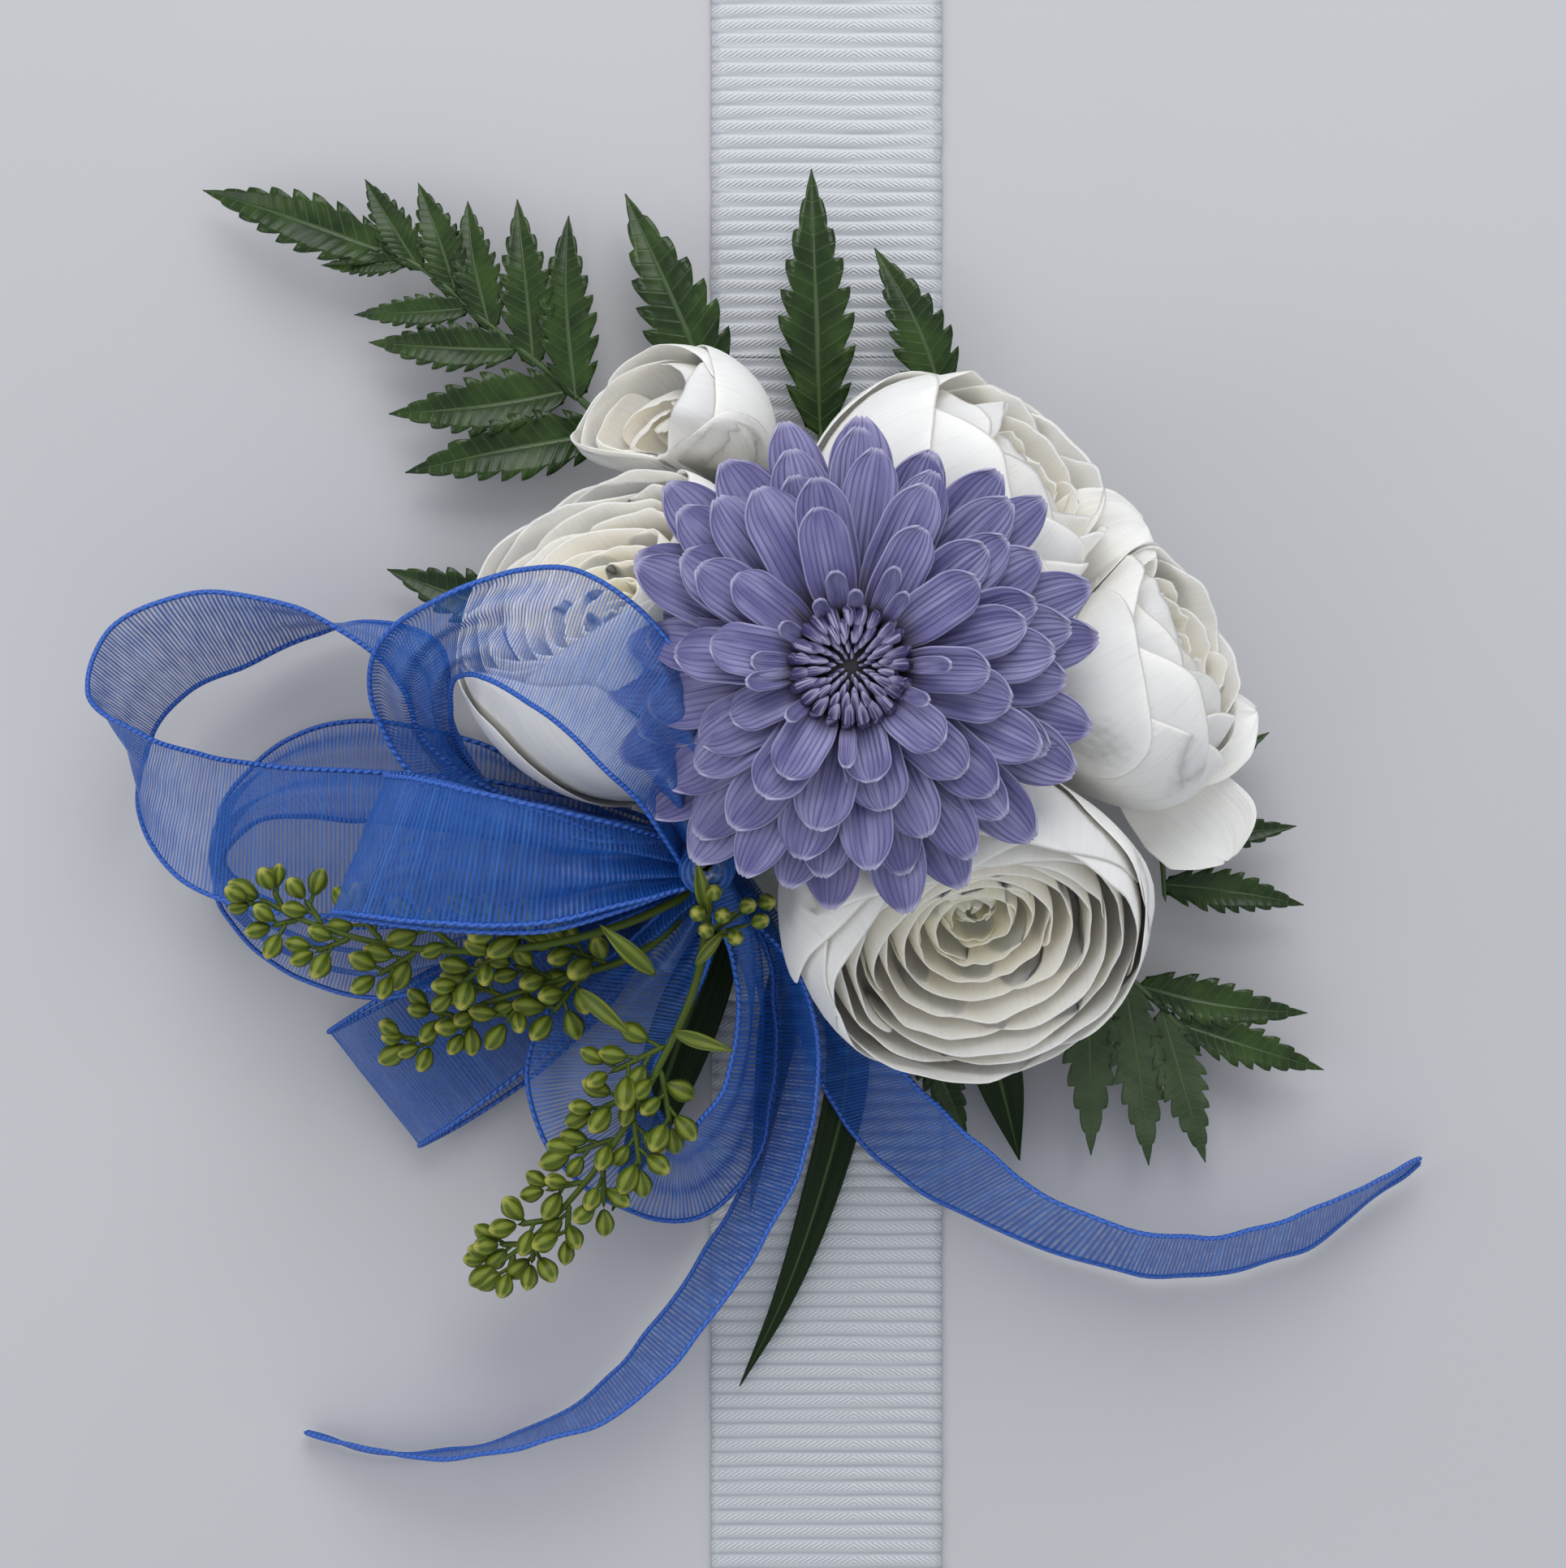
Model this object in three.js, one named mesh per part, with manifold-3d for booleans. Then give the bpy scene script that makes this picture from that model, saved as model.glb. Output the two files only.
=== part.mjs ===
// A wrist corsage: five white ranunculus blooms round a lavender chrysanthemum, with fern, smooth
// leaves, goldenrod and a blue organza bow, on a white grosgrain ribbon band.
// Millimetres. X runs across the band, Y along it and Z away from the wrist. The origin lies on the
// band's underside, in the middle of its width and length.
import * as THREE from "three";
import { mergeVertices } from "three/addons/utils/BufferGeometryUtils.js";
import Module from "manifold-3d";

// Driving dimensions
const bandWidth = 25.4;
const bandThickness = 0.6;
const bandLength = 216;
const innerFoldPlace = 27;
const upperFoldPlace = 67;
const lowerFoldPlace = 62;
const seatGap = 0.3;
const touchGap = 0.06;
const cutGap = 0.2;
const sprayReach = 50;

const feltThickness = 1.2;
const feltHalfWidth = 23;
const feltHalfLength = 29;
const feltCorner = 12;

const bindingRadius = 3;
const bindingHeight = 11;
const bindingTapeStep = 2.75;
const bindingTapeDepth = 0.25;

const bloomRadiusA = 12.4;
const bloomRadiusB = 19.3;
const bloomRadiusC = 19.5;
const bloomRadiusD = 16.9;
const bloomRadiusE = 20.3;
const petalThickness = 0.45;
const bloomFloor = 6.2;
const bloomCeiling = 37.4;
const calyxRadius = 3.2;
const calyxHeight = 1.5;
const stemRadius = 1.1;
const stemHeight = 4.5;
const calyxJoinShare = 0.6;

const mumRadius = 26;
const mumBaseHeight = 39.2;
const mumTierPitch = 1.45;
const mumCollarRadius = 6;
const mumCollarThickness = 1.05;
const mumDiscRadius = 5.6;
const mumDiscHeight = 4.2;
const mumStemRadius = 1.5;
const mumCupHeight = 3;
const floretWidth = 5.6;
const floretThickness = 0.5;
const floretTrough = 0.7;
const quillDepthShare = 0.22;

const fernThickness = 0.4;
const fernRachisRadius = 0.55;
const leafThickness = 0.4;

const goldenrodStemRadius = 0.6;
const goldenrodTwigRadius = 0.35;
const budLength = 3.1;
const budRadius = 0.95;

const ribbonWidth = 16;
const ribbonThickness = 0.3;
const bowWireRadius = 1.8;
const bowWireTop = 31;

const wasm = await Module();
wasm.setup();

const xAxis = new THREE.Vector3(1, 0, 0);
const yAxis = new THREE.Vector3(0, 1, 0);
const zAxis = new THREE.Vector3(0, 0, 1);

// Solids

// A closed geometry as a solid that can be joined and cut.
function solidOf(geometry) {
  const plain = geometry.clone();
  plain.deleteAttribute("normal");
  plain.deleteAttribute("uv");
  const merged = mergeVertices(plain);
  return new wasm.Manifold(
    new wasm.Mesh({
      numProp: 3,
      vertProperties: merged.attributes.position.array,
      triVerts: new Uint32Array(merged.index.array),
    }),
  );
}

function geometryOf(solid) {
  const mesh = solid.getMesh();
  const geometry = new THREE.BufferGeometry();
  geometry.setAttribute("position", new THREE.BufferAttribute(mesh.vertProperties, 3));
  geometry.setIndex(new THREE.BufferAttribute(mesh.triVerts, 1));
  geometry.computeVertexNormals();
  return geometry;
}

function joined(geometries) {
  return geometries.map(solidOf).reduce((whole, piece) => whole.add(piece));
}

// The largest body of a solid, so that a crumb left by a cut is dropped.
function mainBody(solid) {
  const bodies = solid.decompose();
  return bodies.reduce((best, body) => (body.volume() > best.volume() ? body : best));
}

// A solid with room cut round each neighbour that touches it.
function clearOf(solid, neighbours) {
  let cleared = solid;
  for (const neighbour of neighbours) {
    if (cleared.minGap(neighbour, touchGap) >= touchGap) continue;
    for (const axis of [xAxis, yAxis, zAxis]) {
      for (const side of [-cutGap, cutGap]) {
        const shift = axis.clone().multiplyScalar(side);
        cleared = cleared.subtract(neighbour.translate([shift.x, shift.y, shift.z]));
      }
    }
  }
  return mainBody(cleared);
}

// A closed sheet of even thickness laid over rows and columns of points.
function sheetGeometry(rows, thickness) {
  const rowCount = rows.length;
  const columnCount = rows[0].length;
  const front = [];
  const back = [];
  for (let i = 0; i < rowCount; i += 1) {
    for (let j = 0; j < columnCount; j += 1) {
      const along = rows[Math.min(i + 1, rowCount - 1)][j].clone().sub(rows[Math.max(i - 1, 0)][j]);
      const across = rows[i][Math.min(j + 1, columnCount - 1)].clone().sub(rows[i][Math.max(j - 1, 0)]);
      const normal = along.cross(across).normalize().multiplyScalar(thickness / 2);
      front.push(rows[i][j].clone().add(normal));
      back.push(rows[i][j].clone().sub(normal));
    }
  }
  const at = (i, j) => i * columnCount + j;
  const under = (i, j) => rowCount * columnCount + at(i, j);
  const faces = [];
  const quad = (a, b, c, d) => faces.push(a, b, c, a, c, d);
  for (let i = 0; i + 1 < rowCount; i += 1) {
    for (let j = 0; j + 1 < columnCount; j += 1) {
      quad(at(i, j), at(i + 1, j), at(i + 1, j + 1), at(i, j + 1));
      quad(under(i, j), under(i, j + 1), under(i + 1, j + 1), under(i + 1, j));
    }
    const last = columnCount - 1;
    quad(at(i, 0), under(i, 0), under(i + 1, 0), at(i + 1, 0));
    quad(at(i, last), at(i + 1, last), under(i + 1, last), under(i, last));
  }
  for (let j = 0; j + 1 < columnCount; j += 1) {
    const last = rowCount - 1;
    quad(at(0, j), at(0, j + 1), under(0, j + 1), under(0, j));
    quad(at(last, j), under(last, j), under(last, j + 1), at(last, j + 1));
  }
  const geometry = new THREE.BufferGeometry();
  geometry.setFromPoints([...front, ...back]);
  geometry.setIndex(faces);
  return geometry;
}

// A straight round rod between two points, tapering from one radius to the other.
function rodGeometry(from, to, fromRadius, toRadius, sides) {
  const span = to.clone().sub(from);
  const rod = new THREE.CylinderGeometry(toRadius, fromRadius, span.length(), sides, 1);
  const turn = new THREE.Quaternion().setFromUnitVectors(yAxis, span.clone().normalize());
  rod.applyQuaternion(turn);
  const middle = from.clone().add(to).multiplyScalar(0.5);
  return rod.translate(middle.x, middle.y, middle.z);
}

// A five-sided stem through a few points.
function stemGeometry(points, radius, steps) {
  const corners = [0, 1, 2, 3, 4].map((k) => {
    const round = (2 * Math.PI * k) / 5;
    return new THREE.Vector2(radius * Math.cos(round), radius * Math.sin(round));
  });
  return new THREE.ExtrudeGeometry(new THREE.Shape(corners), {
    steps,
    extrudePath: new THREE.CatmullRomCurve3(points),
  });
}

const placed = ([x, y, z]) => new THREE.Vector3(x, y, z).multiplyScalar(sprayReach);

// Ribbon band

function bandPiece(start, end) {
  const length = end - start;
  const piece = new THREE.BoxGeometry(bandWidth, length, bandThickness);
  return solidOf(piece.translate(0, start + length / 2, bandThickness / 2));
}

const bandEnd = bandLength / 2;
const foldGap = seatGap / 2;
const bandPieces = {
  band_middle: bandPiece(-innerFoldPlace, innerFoldPlace),
  band_upper_inner: bandPiece(innerFoldPlace + seatGap, upperFoldPlace - foldGap),
  band_upper_end: bandPiece(upperFoldPlace + foldGap, bandEnd),
  band_lower_inner: bandPiece(-lowerFoldPlace + foldGap, -innerFoldPlace - seatGap),
  band_lower_end: bandPiece(-bandEnd, -lowerFoldPlace - foldGap),
};

// Felt pad that carries the flowers

const feltBottom = bandThickness + seatGap;
const feltTop = feltBottom + feltThickness;
const feltPlace = placed([0.03, 0.1, 0]);

function feltPad() {
  const outline = new THREE.Shape();
  const straightWidth = feltHalfWidth - feltCorner;
  const straightLength = feltHalfLength - feltCorner;
  outline.moveTo(feltHalfWidth, -straightLength);
  outline.absarc(straightWidth, straightLength, feltCorner, 0, Math.PI / 2);
  outline.absarc(-straightWidth, straightLength, feltCorner, Math.PI / 2, Math.PI);
  outline.absarc(-straightWidth, -straightLength, feltCorner, Math.PI, 1.5 * Math.PI);
  outline.absarc(straightWidth, -straightLength, feltCorner, 1.5 * Math.PI, 2 * Math.PI);
  const pad = new THREE.ExtrudeGeometry(outline, {
    depth: feltThickness,
    bevelEnabled: false,
    curveSegments: 3,
  });
  return solidOf(pad.translate(feltPlace.x, feltPlace.y, feltBottom));
}

// Taped stem binding under the chrysanthemum

const bindingPlace = placed([0.036, 0.23, 0]);
const bindingBottom = feltTop + seatGap;
const bindingTop = bindingBottom + bindingHeight;

function stemBinding() {
  const profile = [new THREE.Vector2(0, bindingBottom)];
  const turns = Math.round(bindingHeight / bindingTapeStep);
  for (let i = 0; i < turns; i += 1) {
    const low = bindingBottom + (i * bindingHeight) / turns;
    const high = bindingBottom + ((i + 1) * bindingHeight) / turns;
    profile.push(new THREE.Vector2(bindingRadius - bindingTapeDepth, low));
    profile.push(new THREE.Vector2(bindingRadius, (low + high) / 2));
    if (i === turns - 1) profile.push(new THREE.Vector2(bindingRadius - bindingTapeDepth, high));
  }
  profile.push(new THREE.Vector2(0, bindingTop));
  const binding = new THREE.LatheGeometry(profile, 8).rotateX(Math.PI / 2);
  return solidOf(binding.translate(bindingPlace.x, bindingPlace.y, 0));
}

// Ranunculus blooms

// Layers from the outside in: equator radius, rim ring radius and rim height, as shares of the bloom's
// radius, and how many petals lie below the layer's foot. A hollow bloom is open in the middle, and a
// crowned one stands up inside its guard petals.
const hollowLayers = {
  guard: { equator: 0.97, ring: 0.56, height: 0.72, inset: 0 },
  whorl: { equator: 0.78, ring: 0.42, height: 0.7, inset: 1 },
  heartOuter: { equator: 0.62, ring: 0.3, height: 0.64, foot: 0.71 },
  heartInner: { equator: 0.16, ring: 0.08, height: 0.5 },
};
const crownedLayers = {
  guard: { equator: 0.97, ring: 0.68, height: 0.66, inset: 0 },
  whorl: { equator: 0.78, ring: 0.42, height: 0.84, inset: 1 },
  heartOuter: { equator: 0.62, ring: 0.3, height: 0.84, foot: 0.71 },
  heartInner: { equator: 0.16, ring: 0.08, height: 0.78 },
};

// Each bloom's place, the way its opening faces, how far its petals are turned and its layers.
const blooms = {
  a: {
    radius: bloomRadiusA,
    centre: placed([-0.34, 0.712, 0.28]),
    facing: new THREE.Vector3(-0.78, 0.56, 0.36),
    turn: 0.4,
    layers: hollowLayers,
  },
  b: {
    radius: bloomRadiusB,
    centre: placed([-0.422, 0.334, 0.408]),
    facing: new THREE.Vector3(-0.5, 0.54, 0.67),
    turn: 0.9,
    layers: hollowLayers,
  },
  c: {
    radius: bloomRadiusC,
    centre: placed([0.264, 0.5, 0.4]),
    facing: new THREE.Vector3(0.64, 0.56, 0.31),
    turn: 1.7,
    layers: crownedLayers,
  },
  d: {
    radius: bloomRadiusD,
    centre: placed([0.564, 0.228, 0.348]),
    facing: new THREE.Vector3(0.8, 0.4, 0.35),
    turn: 2.3,
    layers: crownedLayers,
  },
  e: {
    radius: bloomRadiusE,
    centre: placed([0.292, -0.248, 0.408]),
    facing: new THREE.Vector3(0.12, -0.56, 0.82),
    turn: 0.2,
    layers: hollowLayers,
  },
};

const guardPetals = 5;
const guardColumns = 4;
const whorlPetals = 4;
const whorlColumns = 3;
const guardHalfSpan = 0.92;
const whorlHalfSpan = 1.05;
const heartTurns = 2.5;
const heartSteps = 20;
const squeezePower = 8;
const petalReachShare = 1.05;

// The flat walls that a bloom is pressed against: its neighbours, the leaves below and the
// chrysanthemum above.
function wallsOf(name) {
  const bloom = blooms[name];
  const margin = seatGap / 2;
  const walls = [
    { normal: zAxis.clone().negate(), distance: bloom.centre.z - bloomFloor - margin },
    { normal: zAxis.clone(), distance: bloomCeiling - margin - bloom.centre.z },
  ];
  for (const [otherName, other] of Object.entries(blooms)) {
    if (otherName === name) continue;
    const span = other.centre.clone().sub(bloom.centre);
    const apart = span.length();
    const reach = petalReachShare * (bloom.radius + other.radius) + margin;
    if (apart > reach) continue;
    const distance = (apart ** 2 + bloom.radius ** 2 - other.radius ** 2) / (2 * apart);
    walls.push({ normal: span.normalize(), distance: distance - margin });
  }
  return walls;
}

// Places a point of a bloom by its angle up from the base, its angle round and its share of the
// radius, and presses it in behind the walls.
function bloomPlacer(name) {
  const bloom = blooms[name];
  const walls = wallsOf(name);
  const turn = new THREE.Quaternion().setFromUnitVectors(zAxis, bloom.facing.clone().normalize());
  return (up, round, share) => {
    const direction = new THREE.Vector3(
      Math.sin(up) * Math.cos(round),
      Math.sin(up) * Math.sin(round),
      -Math.cos(up),
    ).applyQuaternion(turn);
    let sum = 1;
    for (const wall of walls) {
      const press = (petalReachShare * bloom.radius * direction.dot(wall.normal)) / wall.distance;
      if (press > 0) sum += press ** squeezePower;
    }
    const squeeze = sum ** (-1 / squeezePower);
    return bloom.centre.clone().addScaledVector(direction, bloom.radius * share * squeeze);
  };
}

// The radius share of a layer at an angle up from the base, and the angle of its rim.
function layerProfile(layer) {
  const rimShare = Math.hypot(layer.ring, layer.height);
  const rimAngle = Math.PI - Math.atan2(layer.ring, layer.height);
  return {
    rimAngle,
    shareAt: (up) => {
      const climb = Math.max(0, (up - Math.PI / 2) / (rimAngle - Math.PI / 2));
      return THREE.MathUtils.lerp(layer.equator, rimShare, climb ** 2);
    },
  };
}

// Angles up from the base at which each petal has a row of points, before its rim.
const petalRowAngles = [0.25, 1.05, 1.75];
const petalWidthShares = [0.62, 0.92, 1, 0.94];
const petalRollShare = 0.045;
const petalRimDipShare = 0.16;

// A closed layer of petals on one small foot, which sits in the foot of the layer below: each petal
// curves up and over, with one edge outside its neighbour and one inside.
function petalLayer(name, layer, petalCount, halfSpan, columns) {
  const bloom = blooms[name];
  const foot = bloom.layers.guard.equator - (layer.inset * (petalThickness + seatGap)) / bloom.radius;
  const place = bloomPlacer(name);
  const profile = layerProfile(layer);
  const half = petalThickness / (2 * bloom.radius);
  const step = (2 * Math.PI) / petalCount;
  const points = [];
  const faces = [];
  const quad = (a, b, c, d) => faces.push(a, b, c, a, c, d);
  points.push(place(0, 0, foot + half), place(0, 0, foot - half));
  const rowCount = petalWidthShares.length;
  const rowLength = columns + 1;
  const petalLength = 2 * rowCount * rowLength;
  for (let k = 0; k < petalCount; k += 1) {
    const start = points.length;
    const round = bloom.turn + k * step;
    petalWidthShares.forEach((widthShare, i) => {
      for (let j = 0; j < rowLength; j += 1) {
        const side = (2 * j) / columns - 1;
        const rim = profile.rimAngle * (1 - petalRimDipShare * side ** 2);
        const up = i < rowCount - 1 ? petalRowAngles[i] : rim;
        const roll = i === 0 ? 0 : petalRollShare * side;
        const angle = round + side * halfSpan * widthShare;
        const share = profile.shareAt(up) + roll;
        points.push(place(up, angle, share + half), place(up, angle, share - half));
      }
    });
    const outer = (i, j) => start + 2 * (i * rowLength + j);
    const inner = (i, j) => outer(i, j) + 1;
    for (let i = 0; i + 1 < rowCount; i += 1) {
      for (let j = 0; j < columns; j += 1) {
        quad(outer(i, j), outer(i, j + 1), outer(i + 1, j + 1), outer(i + 1, j));
        quad(inner(i, j), inner(i + 1, j), inner(i + 1, j + 1), inner(i, j + 1));
      }
      quad(outer(i, 0), outer(i + 1, 0), inner(i + 1, 0), inner(i, 0));
      quad(outer(i, columns), inner(i, columns), inner(i + 1, columns), outer(i + 1, columns));
    }
    for (let j = 0; j < columns; j += 1) {
      const rim = rowCount - 1;
      quad(outer(rim, j), outer(rim, j + 1), inner(rim, j + 1), inner(rim, j));
      faces.push(0, outer(0, j + 1), outer(0, j));
      faces.push(1, inner(0, j), inner(0, j + 1));
    }
    const next = 2 + ((k + 1) % petalCount) * petalLength;
    const last = outer(0, columns);
    faces.push(0, next, last, 1, last + 1, next + 1);
    quad(last, next, next + 1, last + 1);
  }
  const geometry = new THREE.BufferGeometry().setFromPoints(points);
  geometry.setIndex(faces);
  return solidOf(geometry);
}

// The tight heart: one long petal wound inwards, whose first turn stands in the whorl's foot.
const heartRiseShares = [0.1, 0.42, 0.72, 1];

function bloomHeart(name) {
  const bloom = blooms[name];
  const { heartOuter, heartInner } = bloom.layers;
  const place = bloomPlacer(name);
  const half = petalThickness / (2 * bloom.radius);
  const points = [];
  const faces = [];
  const quad = (a, b, c, d) => faces.push(a, b, c, a, c, d);
  const rowLength = heartRiseShares.length;
  for (let i = 0; i <= heartSteps; i += 1) {
    const wind = i / heartSteps;
    const between = (part) => THREE.MathUtils.lerp(heartOuter[part], heartInner[part], wind);
    const profile = layerProfile({
      equator: between("equator"),
      ring: between("ring"),
      height: between("height"),
    });
    const round = bloom.turn + 2 * Math.PI * heartTurns * wind;
    const seated = i * heartTurns <= heartSteps;
    heartRiseShares.forEach((rise, j) => {
      const up = profile.rimAngle * rise;
      const share = j === 0 && seated ? heartOuter.foot : profile.shareAt(up);
      points.push(place(up, round, share + half), place(up, round, share - half));
    });
  }
  const outer = (i, j) => 2 * (i * rowLength + j);
  const inner = (i, j) => outer(i, j) + 1;
  for (let i = 0; i < heartSteps; i += 1) {
    for (let j = 0; j + 1 < rowLength; j += 1) {
      quad(outer(i, j), outer(i + 1, j), outer(i + 1, j + 1), outer(i, j + 1));
      quad(inner(i, j), inner(i, j + 1), inner(i + 1, j + 1), inner(i + 1, j));
    }
    const rim = rowLength - 1;
    quad(outer(i, 0), inner(i, 0), inner(i + 1, 0), outer(i + 1, 0));
    quad(outer(i, rim), outer(i + 1, rim), inner(i + 1, rim), inner(i, rim));
  }
  for (let j = 0; j + 1 < rowLength; j += 1) {
    quad(outer(0, j), outer(0, j + 1), inner(0, j + 1), inner(0, j));
    quad(outer(heartSteps, j), inner(heartSteps, j), inner(heartSteps, j + 1), outer(heartSteps, j + 1));
  }
  const geometry = new THREE.BufferGeometry().setFromPoints(points);
  geometry.setIndex(faces);
  return solidOf(geometry);
}

// The outer petal of bloom d that has opened away from it: from its foot to its rim, the middle of the
// petal and half its width.
const openPetalShares = [
  [0.652, 0.028, 0.18, 0.06],
  [0.708, -0.016, 0.192, 0.094],
  [0.764, -0.056, 0.216, 0.112],
  [0.816, -0.104, 0.24, 0.1],
  [0.852, -0.156, 0.26, 0.052],
];
const openPetalSides = [-1, -0.5, 0, 0.5, 1];
const openPetalCupShare = 0.3;

function openPetal() {
  const middles = openPetalShares.map(([x, y, z]) => placed([x, y, z]));
  const rows = openPetalShares.map(([, , , half], i) => {
    const before = middles[Math.max(i - 1, 0)];
    const after = middles[Math.min(i + 1, middles.length - 1)];
    const aside = after.clone().sub(before).cross(zAxis).normalize();
    const wide = half * sprayReach;
    return openPetalSides.map((side) =>
      middles[i]
        .clone()
        .addScaledVector(aside, side * wide)
        .addScaledVector(zAxis, side ** 2 * wide * openPetalCupShare),
    );
  });
  return solidOf(sheetGeometry(rows.map((row) => row.reverse()), petalThickness));
}

// The calyx cup under a bloom and its short stem, which runs under the bloom to the binding.
function bloomStem(name) {
  const bloom = blooms[name];
  const place = bloomPlacer(name);
  const foot = place(0, 0, bloom.layers.guard.equator);
  const outwards = foot.clone().sub(bloom.centre).normalize();
  const top = foot.clone().addScaledVector(outwards, petalThickness / 2 + seatGap);
  const neck = top.clone().addScaledVector(outwards, calyxHeight);
  const height = Math.max(neck.z, stemHeight);
  const level = new THREE.Vector3(neck.x, neck.y, height);
  const inwards = bindingPlace.clone().setZ(height).sub(level).normalize();
  const end = bindingPlace.clone().setZ(height).addScaledVector(inwards, -bindingRadius - seatGap);
  return joined([
    rodGeometry(top, neck, calyxRadius, stemRadius, 8),
    rodGeometry(top.clone().lerp(neck, calyxJoinShare), end, stemRadius, stemRadius, 6),
  ]);
}

// Chrysanthemum

const mumPlace = bindingPlace;
// Tiers from the lowest up: florets in the tier, reach as a share of the flower's radius, and how far
// the tips stand above the tier's collar as a share of the radius.
const mumTiers = [
  { florets: 21, reachShare: 1, riseShare: 0.03, widthShare: 1 },
  { florets: 19, reachShare: 0.9, riseShare: 0.07, widthShare: 0.98 },
  { florets: 17, reachShare: 0.78, riseShare: 0.12, widthShare: 0.94 },
  { florets: 14, reachShare: 0.64, riseShare: 0.17, widthShare: 0.9 },
  { florets: 10, reachShare: 0.46, riseShare: 0.2, widthShare: 0.7 },
];
// Along a floret: share of its length, of its full width and of its arch.
const floretShares = [
  [0.45, 0.86, 0.9],
  [0.8, 0.96, 0.7],
  [1, 0.34, 0],
];
const floretArchShare = 0.07;
const shortFloretShares = [1, 0.92, 0.97];

// One tier is one closed star: neighbouring florets share the two edges at the collar that they
// grow from, and each floret is a trough with a ridge along its back.
function mumTier(index) {
  const tier = mumTiers[index];
  const bottom = mumBaseHeight + index * mumTierPitch;
  const top = bottom + mumCollarThickness;
  const count = tier.florets;
  const step = (2 * Math.PI) / count;
  const points = [new THREE.Vector3(0, 0, top), new THREE.Vector3(0, 0, bottom)];
  const faces = [];
  for (let k = 0; k < count; k += 1) {
    const round = step * (k + index / mumTiers.length);
    const start = points.length;
    const following = 2 + ((k + 1) % count) * (3 + 4 * floretShares.length);
    const add = (out, aside, height) =>
      points.push(new THREE.Vector3(out, aside, height).applyAxisAngle(zAxis, round));
    const edgeOut = mumCollarRadius * Math.cos(step / 2);
    const edgeAside = mumCollarRadius * Math.sin(step / 2);
    add(edgeOut, -edgeAside, top);
    add(mumCollarRadius, 0, top - mumCollarThickness / 3);
    add(mumCollarRadius, 0, bottom);
    const reach = tier.reachShare * mumRadius * shortFloretShares[k % shortFloretShares.length];
    for (const [along, wide, arch] of floretShares) {
      const out = THREE.MathUtils.lerp(mumCollarRadius, reach, along);
      const room = out * Math.tan(step / 2) - seatGap / 2;
      const half = Math.min((floretWidth * tier.widthShare * wide) / 2, room);
      const height = bottom + (along * tier.riseShare + arch * floretArchShare) * mumRadius;
      add(out, -half, height + floretTrough);
      add(out, 0, height + floretThickness);
      add(out, half, height + floretTrough);
      add(out, 0, height);
    }
    const [left, ridge, keel, right] = [start, start + 1, start + 2, following];
    faces.push(0, left, ridge, 0, ridge, right, 1, keel, left, 1, right, keel);
    let ring = [left, ridge, right, keel];
    for (let i = 0; i < floretShares.length; i += 1) {
      const next = [0, 1, 2, 3].map((corner) => start + 3 + 4 * i + corner);
      for (let c = 0; c < 4; c += 1) {
        const d = (c + 1) % 4;
        faces.push(ring[c], next[c], next[d], ring[c], next[d], ring[d]);
      }
      ring = next;
    }
    faces.push(ring[0], ring[2], ring[1], ring[0], ring[3], ring[2]);
  }
  const geometry = new THREE.BufferGeometry().setFromPoints(points);
  geometry.setIndex(faces);
  return solidOf(geometry.translate(mumPlace.x, mumPlace.y, 0));
}

// The disc: a dome of tight quills, whose tips stand out in rings between the furrows.
const quillRings = [
  { outShare: 0.86, riseShare: 0 },
  { outShare: 1, riseShare: 0.4 },
  { outShare: 0.84, riseShare: 0.8 },
  { outShare: 0.56, riseShare: 1 },
  { outShare: 0.28, riseShare: 0.9 },
];
const quillCount = 12;
const quillSideRings = 3;
const discCentreShare = 0.7;

function mumDisc() {
  const bottom = mumBaseHeight + mumTiers.length * mumTierPitch;
  const centre = bottom + mumDiscHeight * discCentreShare;
  const points = [new THREE.Vector3(0, 0, bottom), new THREE.Vector3(0, 0, centre)];
  const faces = [];
  const around = 2 * quillCount;
  quillRings.forEach(({ outShare, riseShare }, i) => {
    for (let k = 0; k < around; k += 1) {
      const stands = (k + i) % 2 === 0 && i > 0 ? 1 : 1 - quillDepthShare;
      const out = outShare * mumDiscRadius * (i < quillSideRings ? stands : 1);
      const height = bottom + riseShare * mumDiscHeight * (i < quillSideRings ? 1 : stands);
      const round = (2 * Math.PI * k) / around;
      points.push(new THREE.Vector3(out * Math.cos(round), out * Math.sin(round), height));
      const here = 2 + i * around + k;
      const next = 2 + i * around + ((k + 1) % around);
      if (i === 0) faces.push(0, next, here);
      if (i > 0) faces.push(here - around, next - around, next, here - around, next, here);
      if (i === quillRings.length - 1) faces.push(here, next, 1);
    }
  });
  const geometry = new THREE.BufferGeometry().setFromPoints(points);
  geometry.setIndex(faces);
  return solidOf(geometry.translate(mumPlace.x, mumPlace.y, 0));
}

const cupNeckShare = 0.33;
const cupBaseShare = 0.7;

// The green cup under the florets and the stem down to the binding.
function mumStem() {
  const cupTop = mumBaseHeight - seatGap;
  const cupBottom = cupTop - mumCupHeight;
  const stemBottom = bindingTop + seatGap;
  const profile = [
    new THREE.Vector2(0, stemBottom),
    new THREE.Vector2(mumStemRadius, stemBottom),
    new THREE.Vector2(mumStemRadius, cupBottom - mumCupHeight * cupNeckShare),
    new THREE.Vector2(mumCollarRadius * cupBaseShare, cupBottom),
    new THREE.Vector2(mumCollarRadius, cupTop),
    new THREE.Vector2(0, cupTop),
  ];
  const stem = new THREE.LatheGeometry(profile, 10).rotateX(Math.PI / 2);
  return solidOf(stem.translate(mumPlace.x, mumPlace.y, 0));
}

// Fern

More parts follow.
